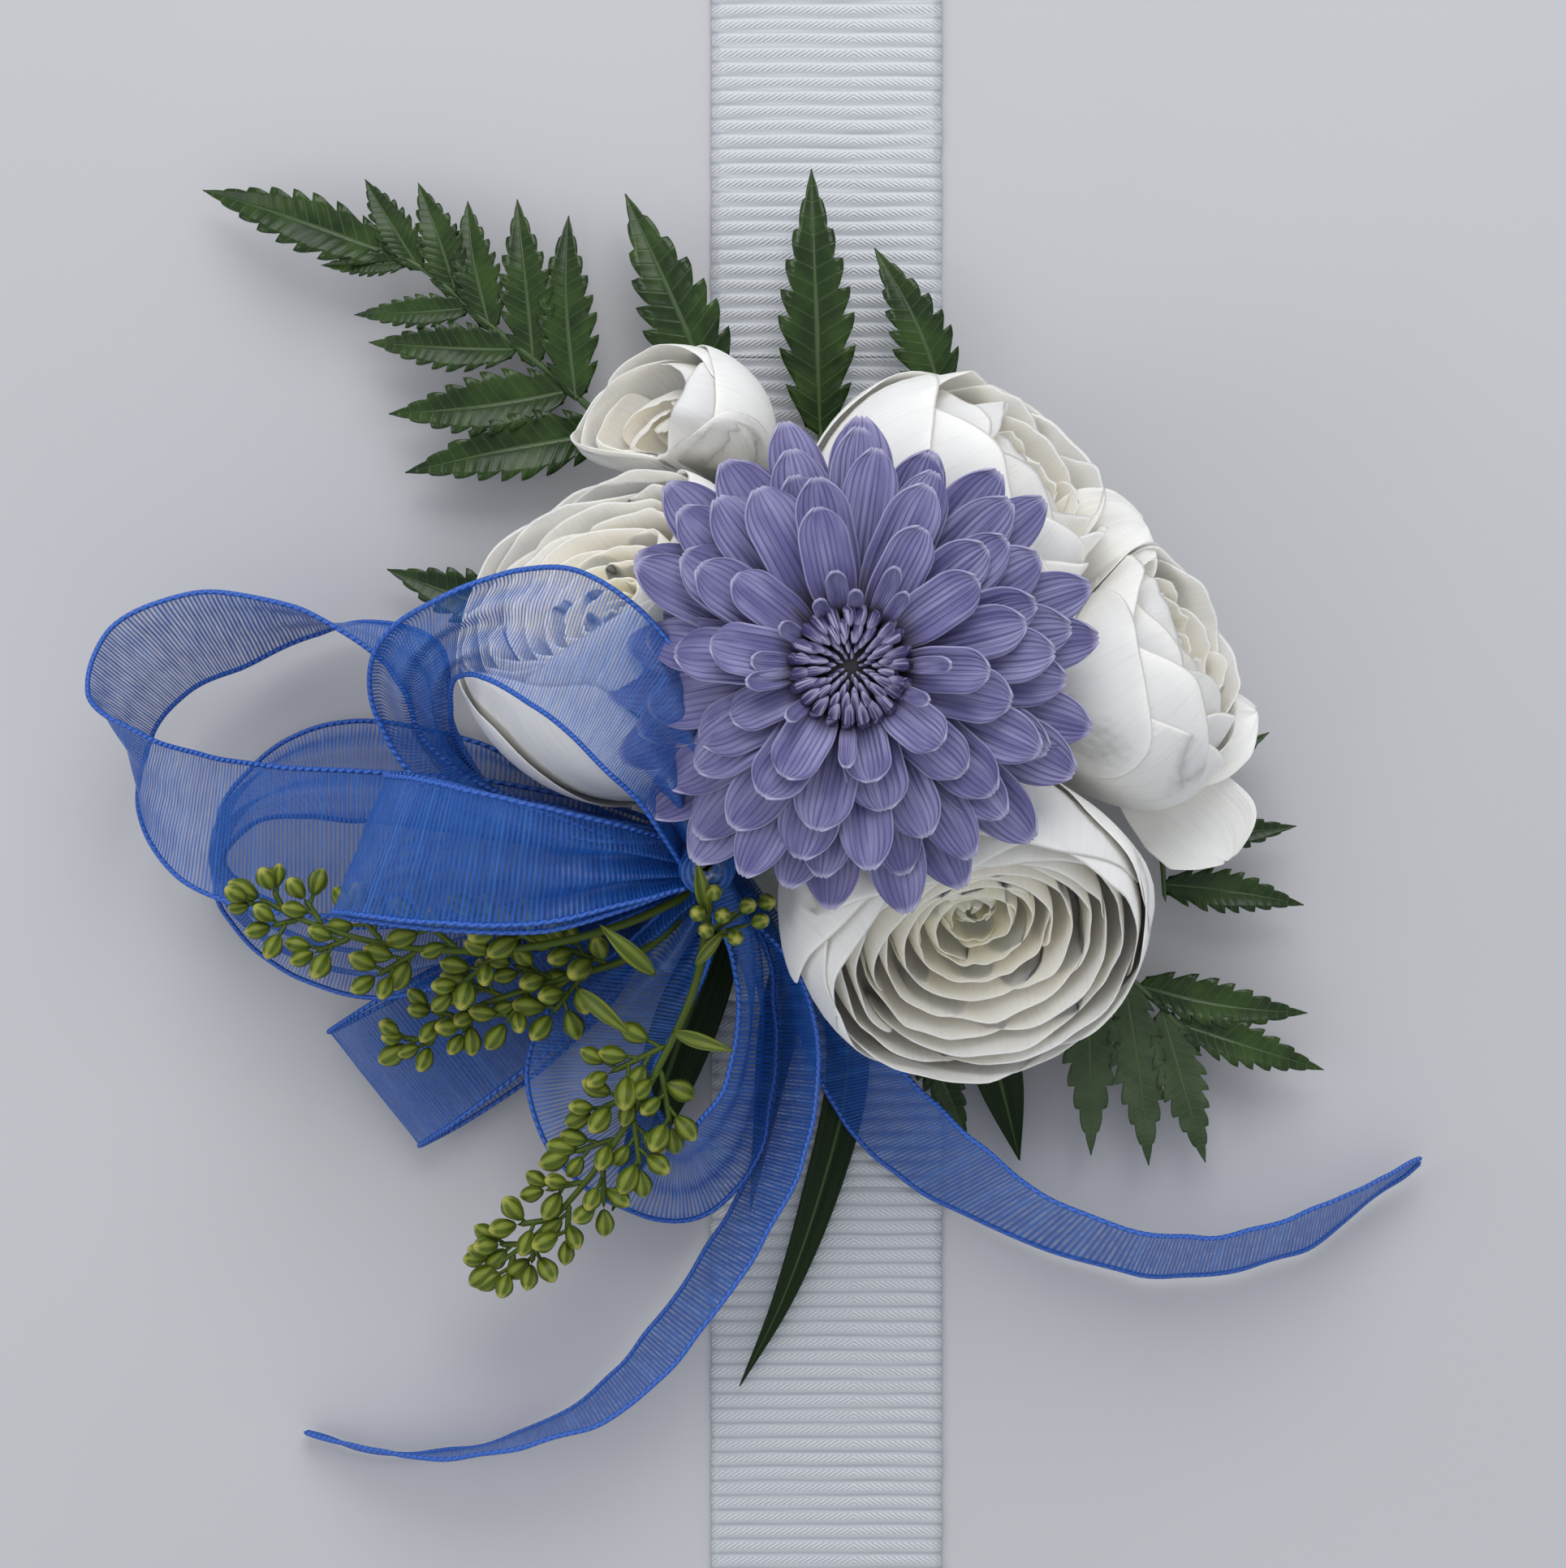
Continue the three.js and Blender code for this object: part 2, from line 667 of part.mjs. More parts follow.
const pinnaTeeth = 3;
const pinnaFootShare = 0.12;
const notchPlaceShare = 0.25;
const toothPlaceShare = 1.1;
const pinnaTipShare = 0.4;
const pinnaSwellPower = 0.7;
const pinnaNotchShare = 0.66;
const pinnaDroopShare = 0.06;

// One toothed leaflet from its base on the stem to its tip.
function pinnaGeometry(base, tip, widthShare) {
  const span = tip.clone().sub(base);
  const length = span.length();
  const half = (length * widthShare) / 2;
  const right = [];
  for (let i = 0; i < pinnaTeeth; i += 1) {
    const notchAt = (i + notchPlaceShare) / (pinnaTeeth + pinnaTipShare);
    const toothAt = (i + toothPlaceShare) / (pinnaTeeth + pinnaTipShare);
    const grow = (at) => THREE.MathUtils.lerp(pinnaFootShare, 1, at) ** pinnaSwellPower;
    const swell = (at) => Math.sin(Math.PI * grow(at));
    right.push([notchAt, swell(notchAt) * pinnaNotchShare], [toothAt, swell(toothAt)]);
  }
  const outline = [[0, pinnaFootShare], ...right];
  const shape = new THREE.Shape();
  outline.forEach(([along, out], i) => {
    if (i === 0) shape.moveTo(along * length, -out * half);
    else shape.lineTo(along * length, -out * half);
  });
  shape.lineTo(length, 0);
  outline.reverse().forEach(([along, out]) => shape.lineTo(along * length, out * half));
  const pinna = new THREE.ExtrudeGeometry(shape, { depth: fernThickness, bevelEnabled: false, steps: 1 });
  pinna.translate(0, 0, -fernThickness / 2);
  const places = pinna.attributes.position;
  for (let i = 0; i < places.count; i += 1) {
    const along = places.getX(i) / length;
    const aside = Math.abs(places.getY(i)) / length;
    places.setZ(i, places.getZ(i) + length * pinnaDroopShare * (Math.sin(Math.PI * along) - aside));
  }
  const pitch = Math.asin(span.z / length);
  pinna.rotateY(-pitch).rotateZ(Math.atan2(span.y, span.x));
  return pinna.translate(base.x, base.y, base.z);
}

// Each spray: the points of its stem from the binding end to the tip, and its leaflets as base, tip and
// width share.
const fernShares = {
  fern_frond_left: {
    stem: [
      [-0.26, 0.54, 0.066],
      [-0.4, 0.7, 0.076],
      [-0.56, 0.86, 0.11],
      [-0.736, 1, 0.132],
      [-0.89, 1.128, 0.14],
      [-1.04, 1.19, 0.14],
    ],
    leaflets: [
      [-0.94, 1.15, 0.14, -1.366, 1.3, 0.1, 0.3],
      [-0.89, 1.128, 0.14, -1.008, 1.312, 0.12, 0.3],
      [-0.812, 1.068, 0.136, -0.892, 1.306, 0.12, 0.3],
      [-0.736, 1, 0.132, -0.784, 1.264, 0.12, 0.3],
      [-0.648, 0.932, 0.12, -0.676, 1.272, 0.12, 0.3],
      [-0.56, 0.86, 0.11, -0.568, 1.236, 0.12, 0.3],
      [-0.91, 1.136, 0.14, -1.104, 1.132, 0.12, 0.3],
      [-0.776, 1.036, 0.136, -1.032, 1.024, 0.12, 0.3],
      [-0.672, 0.948, 0.124, -1, 0.964, 0.12, 0.3],
      [-0.56, 0.86, 0.11, -0.956, 0.808, 0.12, 0.32],
      [-0.472, 0.772, 0.092, -0.92, 0.68, 0.12, 0.3],
    ],
  },
  fern_sprig_upper: {
    stem: [
      [-0.12, 0.58, 0.066],
      [-0.18, 0.72, 0.076],
      [-0.24, 0.82, 0.092],
    ],
    leaflets: [
      [-0.22, 0.79, 0.088, -0.44, 1.288, 0.12, 0.3],
      [-0.24, 0.82, 0.092, -0.32, 0.932, 0.1, 0.4],
    ],
  },
  fern_leaf_top: {
    stem: [
      [-0.008, 0.56, 0.066],
      [-0.012, 0.72, 0.08],
      [-0.016, 0.88, 0.1],
    ],
    leaflets: [[-0.014, 0.76, 0.086, -0.034, 1.342, 0.12, 0.34]],
  },
  fern_leaf_top_right: {
    stem: [
      [0.2, 0.6, 0.066],
      [0.26, 0.72, 0.08],
      [0.268, 0.82, 0.1],
    ],
    leaflets: [[0.268, 0.79, 0.094, 0.104, 1.17, 0.12, 0.34]],
  },
  fern_leaf_left: {
    stem: [
      [-0.38, 0.28, 0.066],
      [-0.54, 0.33, 0.078],
      [-0.66, 0.368, 0.092],
    ],
    leaflets: [[-0.6, 0.348, 0.084, -0.962, 0.47, 0.1, 0.36]],
  },
  fern_frond_right: {
    stem: [
      [0.44, 0.08, 0.066],
      [0.6, 0.02, 0.078],
      [0.72, -0.12, 0.092],
      [0.74, -0.26, 0.1],
    ],
    leaflets: [
      [0.668, -0.052, 0.084, 0.964, 0.112, 0.12, 0.3],
      [0.72, -0.12, 0.092, 1.024, -0.092, 0.12, 0.3],
      [0.732, -0.22, 0.096, 1.04, -0.264, 0.12, 0.32],
    ],
  },
  fern_frond_lower_right: {
    stem: [
      [0.4, -0.24, 0.066],
      [0.54, -0.34, 0.078],
      [0.68, -0.44, 0.1],
      [0.78, -0.54, 0.12],
    ],
    leaflets: [
      [0.68, -0.44, 0.1, 1.048, -0.5, 0.12, 0.3],
      [0.76, -0.52, 0.116, 1.084, -0.624, 0.12, 0.3],
      [0.57, -0.36, 0.084, 0.578, -0.812, 0.1, 0.3],
      [0.65, -0.42, 0.094, 0.704, -0.834, 0.1, 0.3],
      [0.73, -0.49, 0.11, 0.828, -0.828, 0.1, 0.32],
    ],
  },
  fern_leaf_bottom: {
    stem: [
      [0.1, -0.32, 0.066],
      [0.16, -0.44, 0.072],
      [0.2, -0.56, 0.08],
    ],
    leaflets: [[0.18, -0.5, 0.076, 0.308, -0.776, 0.08, 0.34]],
  },
};

function fernSpray(spray) {
  const pieces = [stemGeometry(spray.stem.map(placed), fernRachisRadius, 2 * spray.stem.length - 2)];
  for (const [x, y, z, tipX, tipY, tipZ, widthShare] of spray.leaflets) {
    pieces.push(pinnaGeometry(placed([x, y, z]), placed([tipX, tipY, tipZ]), widthShare));
  }
  return joined(pieces);
}

// Smooth leaves, each a blade along a few points with its widest half width as a share of the reach.
const leafShares = {
  blade_long: {
    spine: [
      [0.01, -0.36, 0.056],
      [0.038, -0.5, 0.054],
      [0.044, -0.66, 0.036],
      [-0.02, -0.92, 0.04],
      [-0.1, -1.14, 0.052],
      [-0.192, -1.328, 0.036],
    ],
    half: 0.048,
  },
  blade_short: {
    spine: [
      [-0.072, -0.34, 0.056],
      [-0.1, -0.49, 0.054],
      [-0.128, -0.68, 0.032],
      [-0.168, -0.94, 0.03],
    ],
    half: 0.044,
  },
  leaf_lower_left: {
    spine: [
      [-0.22, -0.3, 0.058],
      [-0.3, -0.5, 0.068],
      [-0.38, -0.72, 0.072],
      [-0.472, -0.94, 0.048],
    ],
    half: 0.072,
  },
  leaf_pointed: {
    spine: [
      [0.3, -0.32, 0.058],
      [0.34, -0.5, 0.064],
      [0.388, -0.68, 0.068],
      [0.424, -0.828, 0.052],
    ],
    half: 0.064,
  },
};
const leafSteps = 9;
const leafFootShare = 0.12;
const leafSwellPower = 0.8;
const leafTroughShare = 0.18;

function smoothLeaf({ spine, half }) {
  const curve = new THREE.CatmullRomCurve3(spine.map(placed));
  const rows = [];
  for (let i = 0; i <= leafSteps; i += 1) {
    const along = i / leafSteps;
    const middle = curve.getPoint(along);
    const ahead = curve.getTangent(along);
    const aside = ahead.clone().cross(zAxis).normalize();
    const swell = Math.sin(Math.PI * along ** leafSwellPower);
    const wide = half * sprayReach * THREE.MathUtils.lerp(leafFootShare, 1, swell);
    const lift = wide * leafTroughShare;
    rows.push(
      [-1, 0, 1].map((side) =>
        middle
          .clone()
          .addScaledVector(aside, side * wide)
          .addScaledVector(zAxis, Math.abs(side) * lift),
      ),
    );
  }
  return solidOf(sheetGeometry(rows.map((row) => row.reverse()), leafThickness));
}

// Bow wire

const bowWirePlace = placed([-0.252, -0.172, 0]);

// A point moved level with itself to lie just beside the bow wire.
function besideWire(point, reach) {
  const axis = bowWirePlace.clone().setZ(point.z);
  const outwards = point.clone().sub(axis).normalize();
  return axis.addScaledVector(outwards, bowWireRadius + seatGap + reach);
}

// Goldenrod

// Each sprig: its main stem from the binding end to the tip, the number of side twigs, and buds to a
// twig.
const goldenrodShares = {
  goldenrod_left: {
    stem: [
      [-0.28, -0.26, 0.3],
      [-0.44, -0.3, 0.34],
      [-0.68, -0.35, 0.38],
      [-0.92, -0.34, 0.4],
      [-1.1, -0.29, 0.4],
      [-1.2, -0.24, 0.4],
    ],
    twigs: 8,
    spread: 0.15,
  },
  goldenrod_middle: {
    stem: [
      [-0.26, -0.3, 0.22],
      [-0.4, -0.36, 0.26],
      [-0.58, -0.42, 0.29],
      [-0.76, -0.48, 0.29],
      [-0.9, -0.56, 0.27],
    ],
    twigs: 7,
    spread: 0.13,
  },
  goldenrod_lower: {
    stem: [
      [-0.24, -0.3, 0.38],
      [-0.28, -0.42, 0.4],
      [-0.36, -0.6, 0.38],
      [-0.48, -0.8, 0.34],
      [-0.62, -0.96, 0.3],
      [-0.71, -1.03, 0.28],
    ],
    twigs: 10,
    spread: 0.15,
  },
};
const budsPerTwig = 3;
const budBellyShare = 0.6;
const budSpacingShare = 0.33;
const budSwing = 0.9;
const firstTwigShare = 0.34;
const lastTwigShare = 0.96;
const twigShorteningShare = 0.75;
const twigSlantShare = 0.75;
const twigTiltShare = 0.12;
const twigTiltTurn = 2.4;
const twigFlareShare = 1.2;

// One closed bud: a four-sided spindle from its neck to its tip.
function budGeometry(neck, direction) {
  const profile = [
    new THREE.Vector2(0, 0),
    new THREE.Vector2(budRadius, budLength * budBellyShare),
    new THREE.Vector2(0, budLength),
  ];
  const bud = new THREE.LatheGeometry(profile, 4);
  bud.applyQuaternion(new THREE.Quaternion().setFromUnitVectors(yAxis, direction));
  return bud.translate(neck.x, neck.y, neck.z);
}

function goldenrodSprig({ stem, twigs, spread }) {
  const points = stem.map(placed);
  points[0] = besideWire(points[0], goldenrodStemRadius);
  const curve = new THREE.CatmullRomCurve3(points);
  const pieces = [stemGeometry(points, goldenrodStemRadius, 2 * stem.length - 2)];
  const reach = spread * sprayReach;
  for (let k = 0; k < twigs; k += 1) {
    const along = THREE.MathUtils.lerp(firstTwigShare, lastTwigShare, k / (twigs - 1));
    const from = curve.getPoint(along);
    const ahead = curve.getTangent(along);
    const aside = ahead.clone().cross(zAxis).normalize();
    const side = k % 2 === 0 ? 1 : -1;
    const length = reach * (1 - twigShorteningShare * (along - firstTwigShare));
    const out = ahead
      .clone()
      .addScaledVector(aside, side * twigSlantShare)
      .addScaledVector(zAxis, twigTiltShare * Math.cos(k * twigTiltTurn))
      .normalize();
    const end = from.clone().addScaledVector(out, length);
    pieces.push(rodGeometry(from, end, goldenrodTwigRadius * twigFlareShare, goldenrodTwigRadius, 3));
    for (let b = 0; b < budsPerTwig; b += 1) {
      const at = from.clone().lerp(end, 1 - b * budSpacingShare);
      const swing = b === 0 ? 0 : budSwing * (b % 2 === 0 ? 1 : -1);
      const face = out.clone().applyAxisAngle(zAxis, swing);
      pieces.push(budGeometry(at.addScaledVector(face, -goldenrodTwigRadius), face));
    }
  }
  const tip = curve.getPoint(1);
  pieces.push(budGeometry(tip, curve.getTangent(1)));
  return joined(pieces);
}

// Bow

// Each stretch of ribbon: the middle of the ribbon, and across it the vector from one edge to the
// other as a share of the ribbon's width, shorter where the ribbon is curled or gathered.
const ribbonShares = {
  bow_loop_far: [
    [-0.312, -0.132, 0.34, 0, 0.12, 0.1],
    [-0.48, -0.136, 0.28, 0.02, 0.55, 0.1],
    [-0.76, -0.132, 0.26, 0, 0.9, 0],
    [-1, -0.128, 0.27, 0, 0.97, 0],
    [-1.2, -0.116, 0.28, 0.02, 0.97, 0.1],
    [-1.36, -0.072, 0.28, 0.2, 0.85, 0.4],
    [-1.472, 0.02, 0.27, 0.15, 0.5, 0.8],
    [-1.52, 0.14, 0.26, -0.25, 0.3, 0.88],
    [-1.46, 0.26, 0.252, -0.36, 0.42, 0.8],
    [-1.308, 0.328, 0.24, -0.16, 0.46, 0.85],
    [-1.12, 0.352, 0.23, -0.02, 0.12, 0.95],
    [-0.98, 0.32, 0.23, 0.08, -0.24, 0.9],
    [-0.872, 0.252, 0.24, -0.22, -0.3, 0.8],
    [-0.832, 0.1, 0.24, -0.2, -0.1, 0.7],
    [-0.72, -0.032, 0.252, 0, 0, 0.6],
    [-0.54, -0.08, 0.28, 0, 0, 0.45],
    [-0.316, -0.112, 0.4, 0, 0.02, 0.18],
  ],
  bow_loop_ring: [
    [-0.316, -0.16, 0.18, 0, 0.12, -0.12],
    [-0.52, -0.092, 0.14, 0, 0.4, -0.4],
    [-0.76, -0.012, 0.132, 0, 0.66, -0.46],
    [-1, 0.028, 0.128, 0, 0.7, -0.46],
    [-1.16, 0.012, 0.128, -0.2, 0.52, -0.5],
    [-1.28, -0.052, 0.128, -0.22, 0.2, -0.56],
    [-1.328, -0.16, 0.128, -0.1, 0, -0.6],
    [-1.28, -0.264, 0.128, -0.18, -0.16, -0.56],
    [-1.16, -0.348, 0.132, -0.12, -0.34, -0.5],
    [-1, -0.388, 0.15, 0, -0.4, -0.34],
    [-0.84, -0.368, 0.188, 0, -0.36, -0.16],
    [-0.6, -0.296, 0.2, 0, -0.3, -0.12],
    [-0.328, -0.208, 0.204, 0, -0.1, -0.1],
  ],
  bow_loop_front: [
    [-0.292, -0.112, 0.56, 0.2, 0.1, 0.02],
    [-0.3, 0.012, 0.7, 0.5, 0.3, 0.12],
    [-0.368, 0.128, 0.76, 0.52, 0.62, 0.05],
    [-0.452, 0.224, 0.768, 0.36, 0.84, 0],
    [-0.552, 0.292, 0.772, 0.28, 0.84, 0],
    [-0.668, 0.32, 0.764, 0.2, 0.66, 0.1],
    [-0.78, 0.292, 0.708, -0.08, 0.5, 0.5],
    [-0.856, 0.212, 0.592, -0.44, 0.4, 0.5],
    [-0.86, 0.112, 0.48, -0.5, 0.2, 0.5],
    [-0.8, 0.012, 0.408, -0.36, -0.1, 0.62],
    [-0.68, -0.064, 0.38, -0.12, -0.2, 0.62],
    [-0.5, -0.112, 0.408, 0, -0.14, 0.5],
    [-0.316, -0.136, 0.468, 0, 0, 0.2],
  ],
  bow_loop_fold: [
    [-0.308, -0.168, 0.548, 0.02, 0.16, 0.06],
    [-0.42, -0.168, 0.58, 0.04, 0.46, 0.06],
    [-0.6, -0.168, 0.608, 0.1, 0.76, 0.06],
    [-0.78, -0.148, 0.62, 0.2, 0.9, 0.06],
    [-0.92, -0.128, 0.608, 0.34, 0.94, 0.04],
    [-0.972, -0.124, 0.568, 0.36, 0.93, 0.02],
    [-0.92, -0.132, 0.528, 0.34, 0.94, 0],
    [-0.76, -0.16, 0.504, 0.2, 0.9, 0],
    [-0.58, -0.188, 0.492, 0.08, 0.74, 0],
    [-0.42, -0.192, 0.488, 0.02, 0.42, 0],
    [-0.312, -0.188, 0.48, 0, 0.14, 0.04],
  ],
  bow_loop_low: [
    [-0.292, -0.228, 0.172, -0.06, 0.1, 0.04],
    [-0.4, -0.3, 0.148, -0.16, 0.3, 0],
    [-0.58, -0.408, 0.128, -0.42, 0.62, 0],
    [-0.78, -0.528, 0.124, -0.56, 0.74, 0],
    [-0.932, -0.628, 0.112, -0.62, 0.78, 0],
    [-0.992, -0.668, 0.08, -0.62, 0.78, 0],
    [-0.932, -0.64, 0.044, -0.62, 0.78, 0],
    [-0.76, -0.54, 0.048, -0.56, 0.76, 0],
    [-0.56, -0.412, 0.052, -0.4, 0.6, 0],
    [-0.4, -0.312, 0.064, -0.14, 0.2, 0],
    [-0.292, -0.24, 0.084, -0.06, 0.1, 0],
  ],
  bow_loop_bottom: [
    [-0.256, -0.24, 0.34, 0.14, 0.02, 0],
    [-0.34, -0.36, 0.24, 0.56, -0.1, 0.1],
    [-0.46, -0.5, 0.212, 0.88, -0.1, 0.05],
    [-0.512, -0.62, 0.208, 0.86, 0.02, 0.06],
    [-0.492, -0.728, 0.208, 0.7, 0.38, 0.2],
    [-0.408, -0.82, 0.212, 0.4, 0.56, 0.46],
    [-0.308, -0.852, 0.22, -0.06, 0.6, 0.62],
    [-0.228, -0.788, 0.232, -0.4, 0.3, 0.76],
    [-0.172, -0.66, 0.248, -0.3, 0.06, 0.86],
    [-0.152, -0.5, 0.272, -0.2, 0, 0.8],
    [-0.172, -0.352, 0.312, -0.1, 0, 0.5],
    [-0.232, -0.244, 0.412, -0.03, 0, 0.2],
  ],
  bow_tail_left: [
    [-0.204, -0.228, 0.24, 0.06, 0, 0.16],
    [-0.124, -0.332, 0.232, 0.14, 0, 0.6],
    [-0.072, -0.5, 0.22, 0.2, 0, 0.9],
    [-0.072, -0.68, 0.208, 0.34, 0.04, 0.9],
    [-0.12, -0.852, 0.2, 0.42, 0.1, 0.88],
    [-0.22, -1.028, 0.18, 0.42, 0.24, 0.85],
    [-0.352, -1.212, 0.176, 0.4, 0.32, 0.82],
    [-0.488, -1.344, 0.172, 0.26, 0.3, 0.9],
    [-0.668, -1.424, 0.164, 0.06, -0.12, 0.95],
    [-0.86, -1.464, 0.128, 0, -0.06, 0.72],
    [-1.02, -1.456, 0.076, 0, 0, 0.38],
    [-1.152, -1.428, 0.032, 0, 0, 0.06],
  ],
  bow_tail_right: [
    [-0.204, -0.208, 0.148, 0.04, 0.02, 0.14],
    [-0.112, -0.332, 0.148, 0.16, 0.08, 0.3],
    [-0.008, -0.508, 0.164, 0.36, 0.12, 0.42],
    [0.088, -0.656, 0.168, 0.54, 0.16, 0.56],
    [0.2, -0.78, 0.168, 0.5, 0.3, 0.72],
    [0.38, -0.908, 0.168, 0.32, 0.32, 0.86],
    [0.668, -1.016, 0.176, 0.04, 0.36, 0.9],
    [0.848, -1.02, 0.176, -0.04, 0.37, 0.9],
    [1.04, -0.968, 0.16, -0.06, 0.36, 0.85],
    [1.2, -0.884, 0.1, -0.04, 0.16, 0.4],
    [1.306, -0.824, 0.06, 0, 0.03, 0.06],
  ],
};
const stepsPerPoint = 2;

// A ribbon through its stations, held at the wire by its first end and, when it closes, by both.
function ribbonStretch(stations, closes) {
  const places = stations.map(([x, y, z]) => placed([x, y, z]));
  places[0] = besideWire(places[0], 0);
  if (closes) places.push(besideWire(places.pop(), 0));
  const middles = new THREE.CatmullRomCurve3(places);
  const widths = new THREE.CatmullRomCurve3(
    stations.map(([, , , x, y, z]) => new THREE.Vector3(x, y, z).multiplyScalar(ribbonWidth / 2)),
  );
  const steps = stepsPerPoint * (stations.length - 1);
  const rows = [];
  for (let i = 0; i <= steps; i += 1) {
    const middle = middles.getPoint(i / steps);
    const half = widths.getPoint(i / steps);
    rows.push([middle.clone().sub(half), middle.clone().add(half)]);
  }
  return solidOf(sheetGeometry(rows, ribbonThickness));
}

// The twisted wire that gathers the bow and the goldenrod and stands on the felt pad.
const bowWireTurns = 6;
const bowWireWaistShare = 0.85;
const bowWireTipShare = 0.6;

function bowWire() {
  const bottom = feltTop + seatGap;
  const profile = [new THREE.Vector2(0, bottom)];
  for (let i = 0; i < bowWireTurns; i += 1) {
    const low = THREE.MathUtils.lerp(bottom, bowWireTop, i / bowWireTurns);
    const high = THREE.MathUtils.lerp(bottom, bowWireTop, (i + 1) / bowWireTurns);
    profile.push(new THREE.Vector2(bowWireRadius * bowWireWaistShare, low));
    profile.push(new THREE.Vector2(bowWireRadius, (low + high) / 2));
  }
  profile.push(new THREE.Vector2(bowWireRadius * bowWireTipShare, bowWireTop));
  profile.push(new THREE.Vector2(0, bowWireTop));
  const wire = new THREE.LatheGeometry(profile, 6).rotateX(Math.PI / 2);
  return solidOf(wire.translate(bowWirePlace.x, bowWirePlace.y, 0));
}

// Materials

function material(color, roughness) {
  return new THREE.MeshStandardMaterial({ color, roughness, metalness: 0, flatShading: true });
}

const whiteRibbon = material(0xe9ebee, 0.6);
const whiteFelt = material(0xd8dcd6, 0.95);
const greenTape = material(0x5f7a4a, 0.7);
const whitePetal = material(0xf4f2e8, 0.5);
const creamPetal = material(0xece9c8, 0.5);
const lavenderPetal = material(0x8d8cc8, 0.55);
const darkDisc = material(0x4a4668, 0.7);
const fernGreen = material(0x2c4a26, 0.45);
const leafGreen = material(0x22391f, 0.4);
const stemGreen = material(0x6d8a3f, 0.6);
const budGreen = material(0x93a046, 0.6);
const blueOrganza = material(0x2a5cc0, 0.5);
const silverWire = material(0x8f9496, 0.4);

// Assembly

const corsage = new THREE.Group();
const solids = [];

function addPiece(name, solid, pieceMaterial) {
  const cleared = clearOf(solid, solids);
  solids.push(cleared);
  const mesh = new THREE.Mesh(geometryOf(cleared), pieceMaterial);
  mesh.name = name;
  corsage.add(mesh);
}

for (const [name, piece] of Object.entries(bandPieces)) addPiece(name, piece, whiteRibbon);
addPiece("felt_pad", feltPad(), whiteFelt);
addPiece("stem_binding", stemBinding(), greenTape);
addPiece("bow_wire", bowWire(), silverWire);

for (const [name, { layers }] of Object.entries(blooms)) {
  const guard = petalLayer(name, layers.guard, guardPetals, guardHalfSpan, guardColumns);
  const whorl = petalLayer(name, layers.whorl, whorlPetals, whorlHalfSpan, whorlColumns);
  addPiece("ranunculus_" + name + "_guard", guard, whitePetal);
  addPiece("ranunculus_" + name + "_whorl", whorl, whitePetal);
  addPiece("ranunculus_" + name + "_heart", bloomHeart(name), creamPetal);
}
addPiece("ranunculus_d_open_petal", openPetal(), whitePetal);

addPiece("mum_stem", mumStem(), stemGreen);
mumTiers.forEach((tier, index) => {
  addPiece("mum_rays_" + (index + 1), mumTier(index), lavenderPetal);
});
addPiece("mum_disc", mumDisc(), darkDisc);

for (const name of Object.keys(blooms)) {
  addPiece("ranunculus_" + name + "_stem", bloomStem(name), stemGreen);
}
for (const [name, stations] of Object.entries(ribbonShares)) {
  addPiece(name, ribbonStretch(stations, name.startsWith("bow_loop")), blueOrganza);
}
for (const [name, leaf] of Object.entries(leafShares)) {
  addPiece(name, smoothLeaf(leaf), leafGreen);
}
for (const [name, spray] of Object.entries(fernShares)) {
  addPiece(name, fernSpray(spray), fernGreen);
}
for (const [name, sprig] of Object.entries(goldenrodShares)) {
  addPiece(name, goldenrodSprig(sprig), budGreen);
}

export default corsage;
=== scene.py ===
import math
import random

import bpy
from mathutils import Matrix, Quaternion, Vector, noise


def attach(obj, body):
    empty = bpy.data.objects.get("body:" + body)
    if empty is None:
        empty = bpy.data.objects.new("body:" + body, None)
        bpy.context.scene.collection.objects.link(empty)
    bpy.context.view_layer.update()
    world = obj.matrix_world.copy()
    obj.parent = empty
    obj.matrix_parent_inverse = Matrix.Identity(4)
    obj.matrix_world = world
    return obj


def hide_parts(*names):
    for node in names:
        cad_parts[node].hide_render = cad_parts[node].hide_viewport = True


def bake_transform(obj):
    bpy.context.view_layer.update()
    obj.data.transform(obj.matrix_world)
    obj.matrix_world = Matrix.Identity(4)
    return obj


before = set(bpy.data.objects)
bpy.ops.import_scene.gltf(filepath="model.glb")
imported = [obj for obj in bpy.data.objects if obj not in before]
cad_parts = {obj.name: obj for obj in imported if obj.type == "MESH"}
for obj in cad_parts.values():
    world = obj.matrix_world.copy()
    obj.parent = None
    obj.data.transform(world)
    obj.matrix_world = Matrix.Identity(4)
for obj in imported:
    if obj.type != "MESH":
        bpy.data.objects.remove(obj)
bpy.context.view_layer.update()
mm = 0.001

# The camera hangs straight above the table. Its height is an estimate, and the focal length, in pixels of
# the picture's long side, makes the band as wide as it is in the picture.
camera_height = 420 * mm
camera_x = -4.8 * mm
focal_pixels = 4678.8
picture_height_pixels = 1932
sensor_mm = 36

camera_data = bpy.data.cameras.new("camera")
camera_data.sensor_width = sensor_mm
camera_data.lens = sensor_mm * focal_pixels / picture_height_pixels
camera_data.clip_start = 10 * mm
camera = bpy.data.objects.new("camera", camera_data)
camera.location = (camera_x, 0, camera_height)
bpy.context.scene.collection.objects.link(camera)
bpy.context.scene.camera = camera
bpy.context.scene.view_settings.view_transform = "Standard"


# The table is a wide pale plane just under the band, and the light comes from a large soft window
# beyond the band's upper end, with a weaker one at the left and an even pale sky.
table_colour = (0.46, 0.454, 0.472, 1)
table_patch_share = 0.96
table_size = 4
table_drop = 0.05 * mm
sky_colour = (0.9, 0.945, 1, 1)
sky_strength = 0.8
window_place = (0.03, 0.44, 0.45)
window_size = 0.42
window_watts = 2.35
fill_place = (-0.6, -0.1, 0.5)
fill_watts = 1


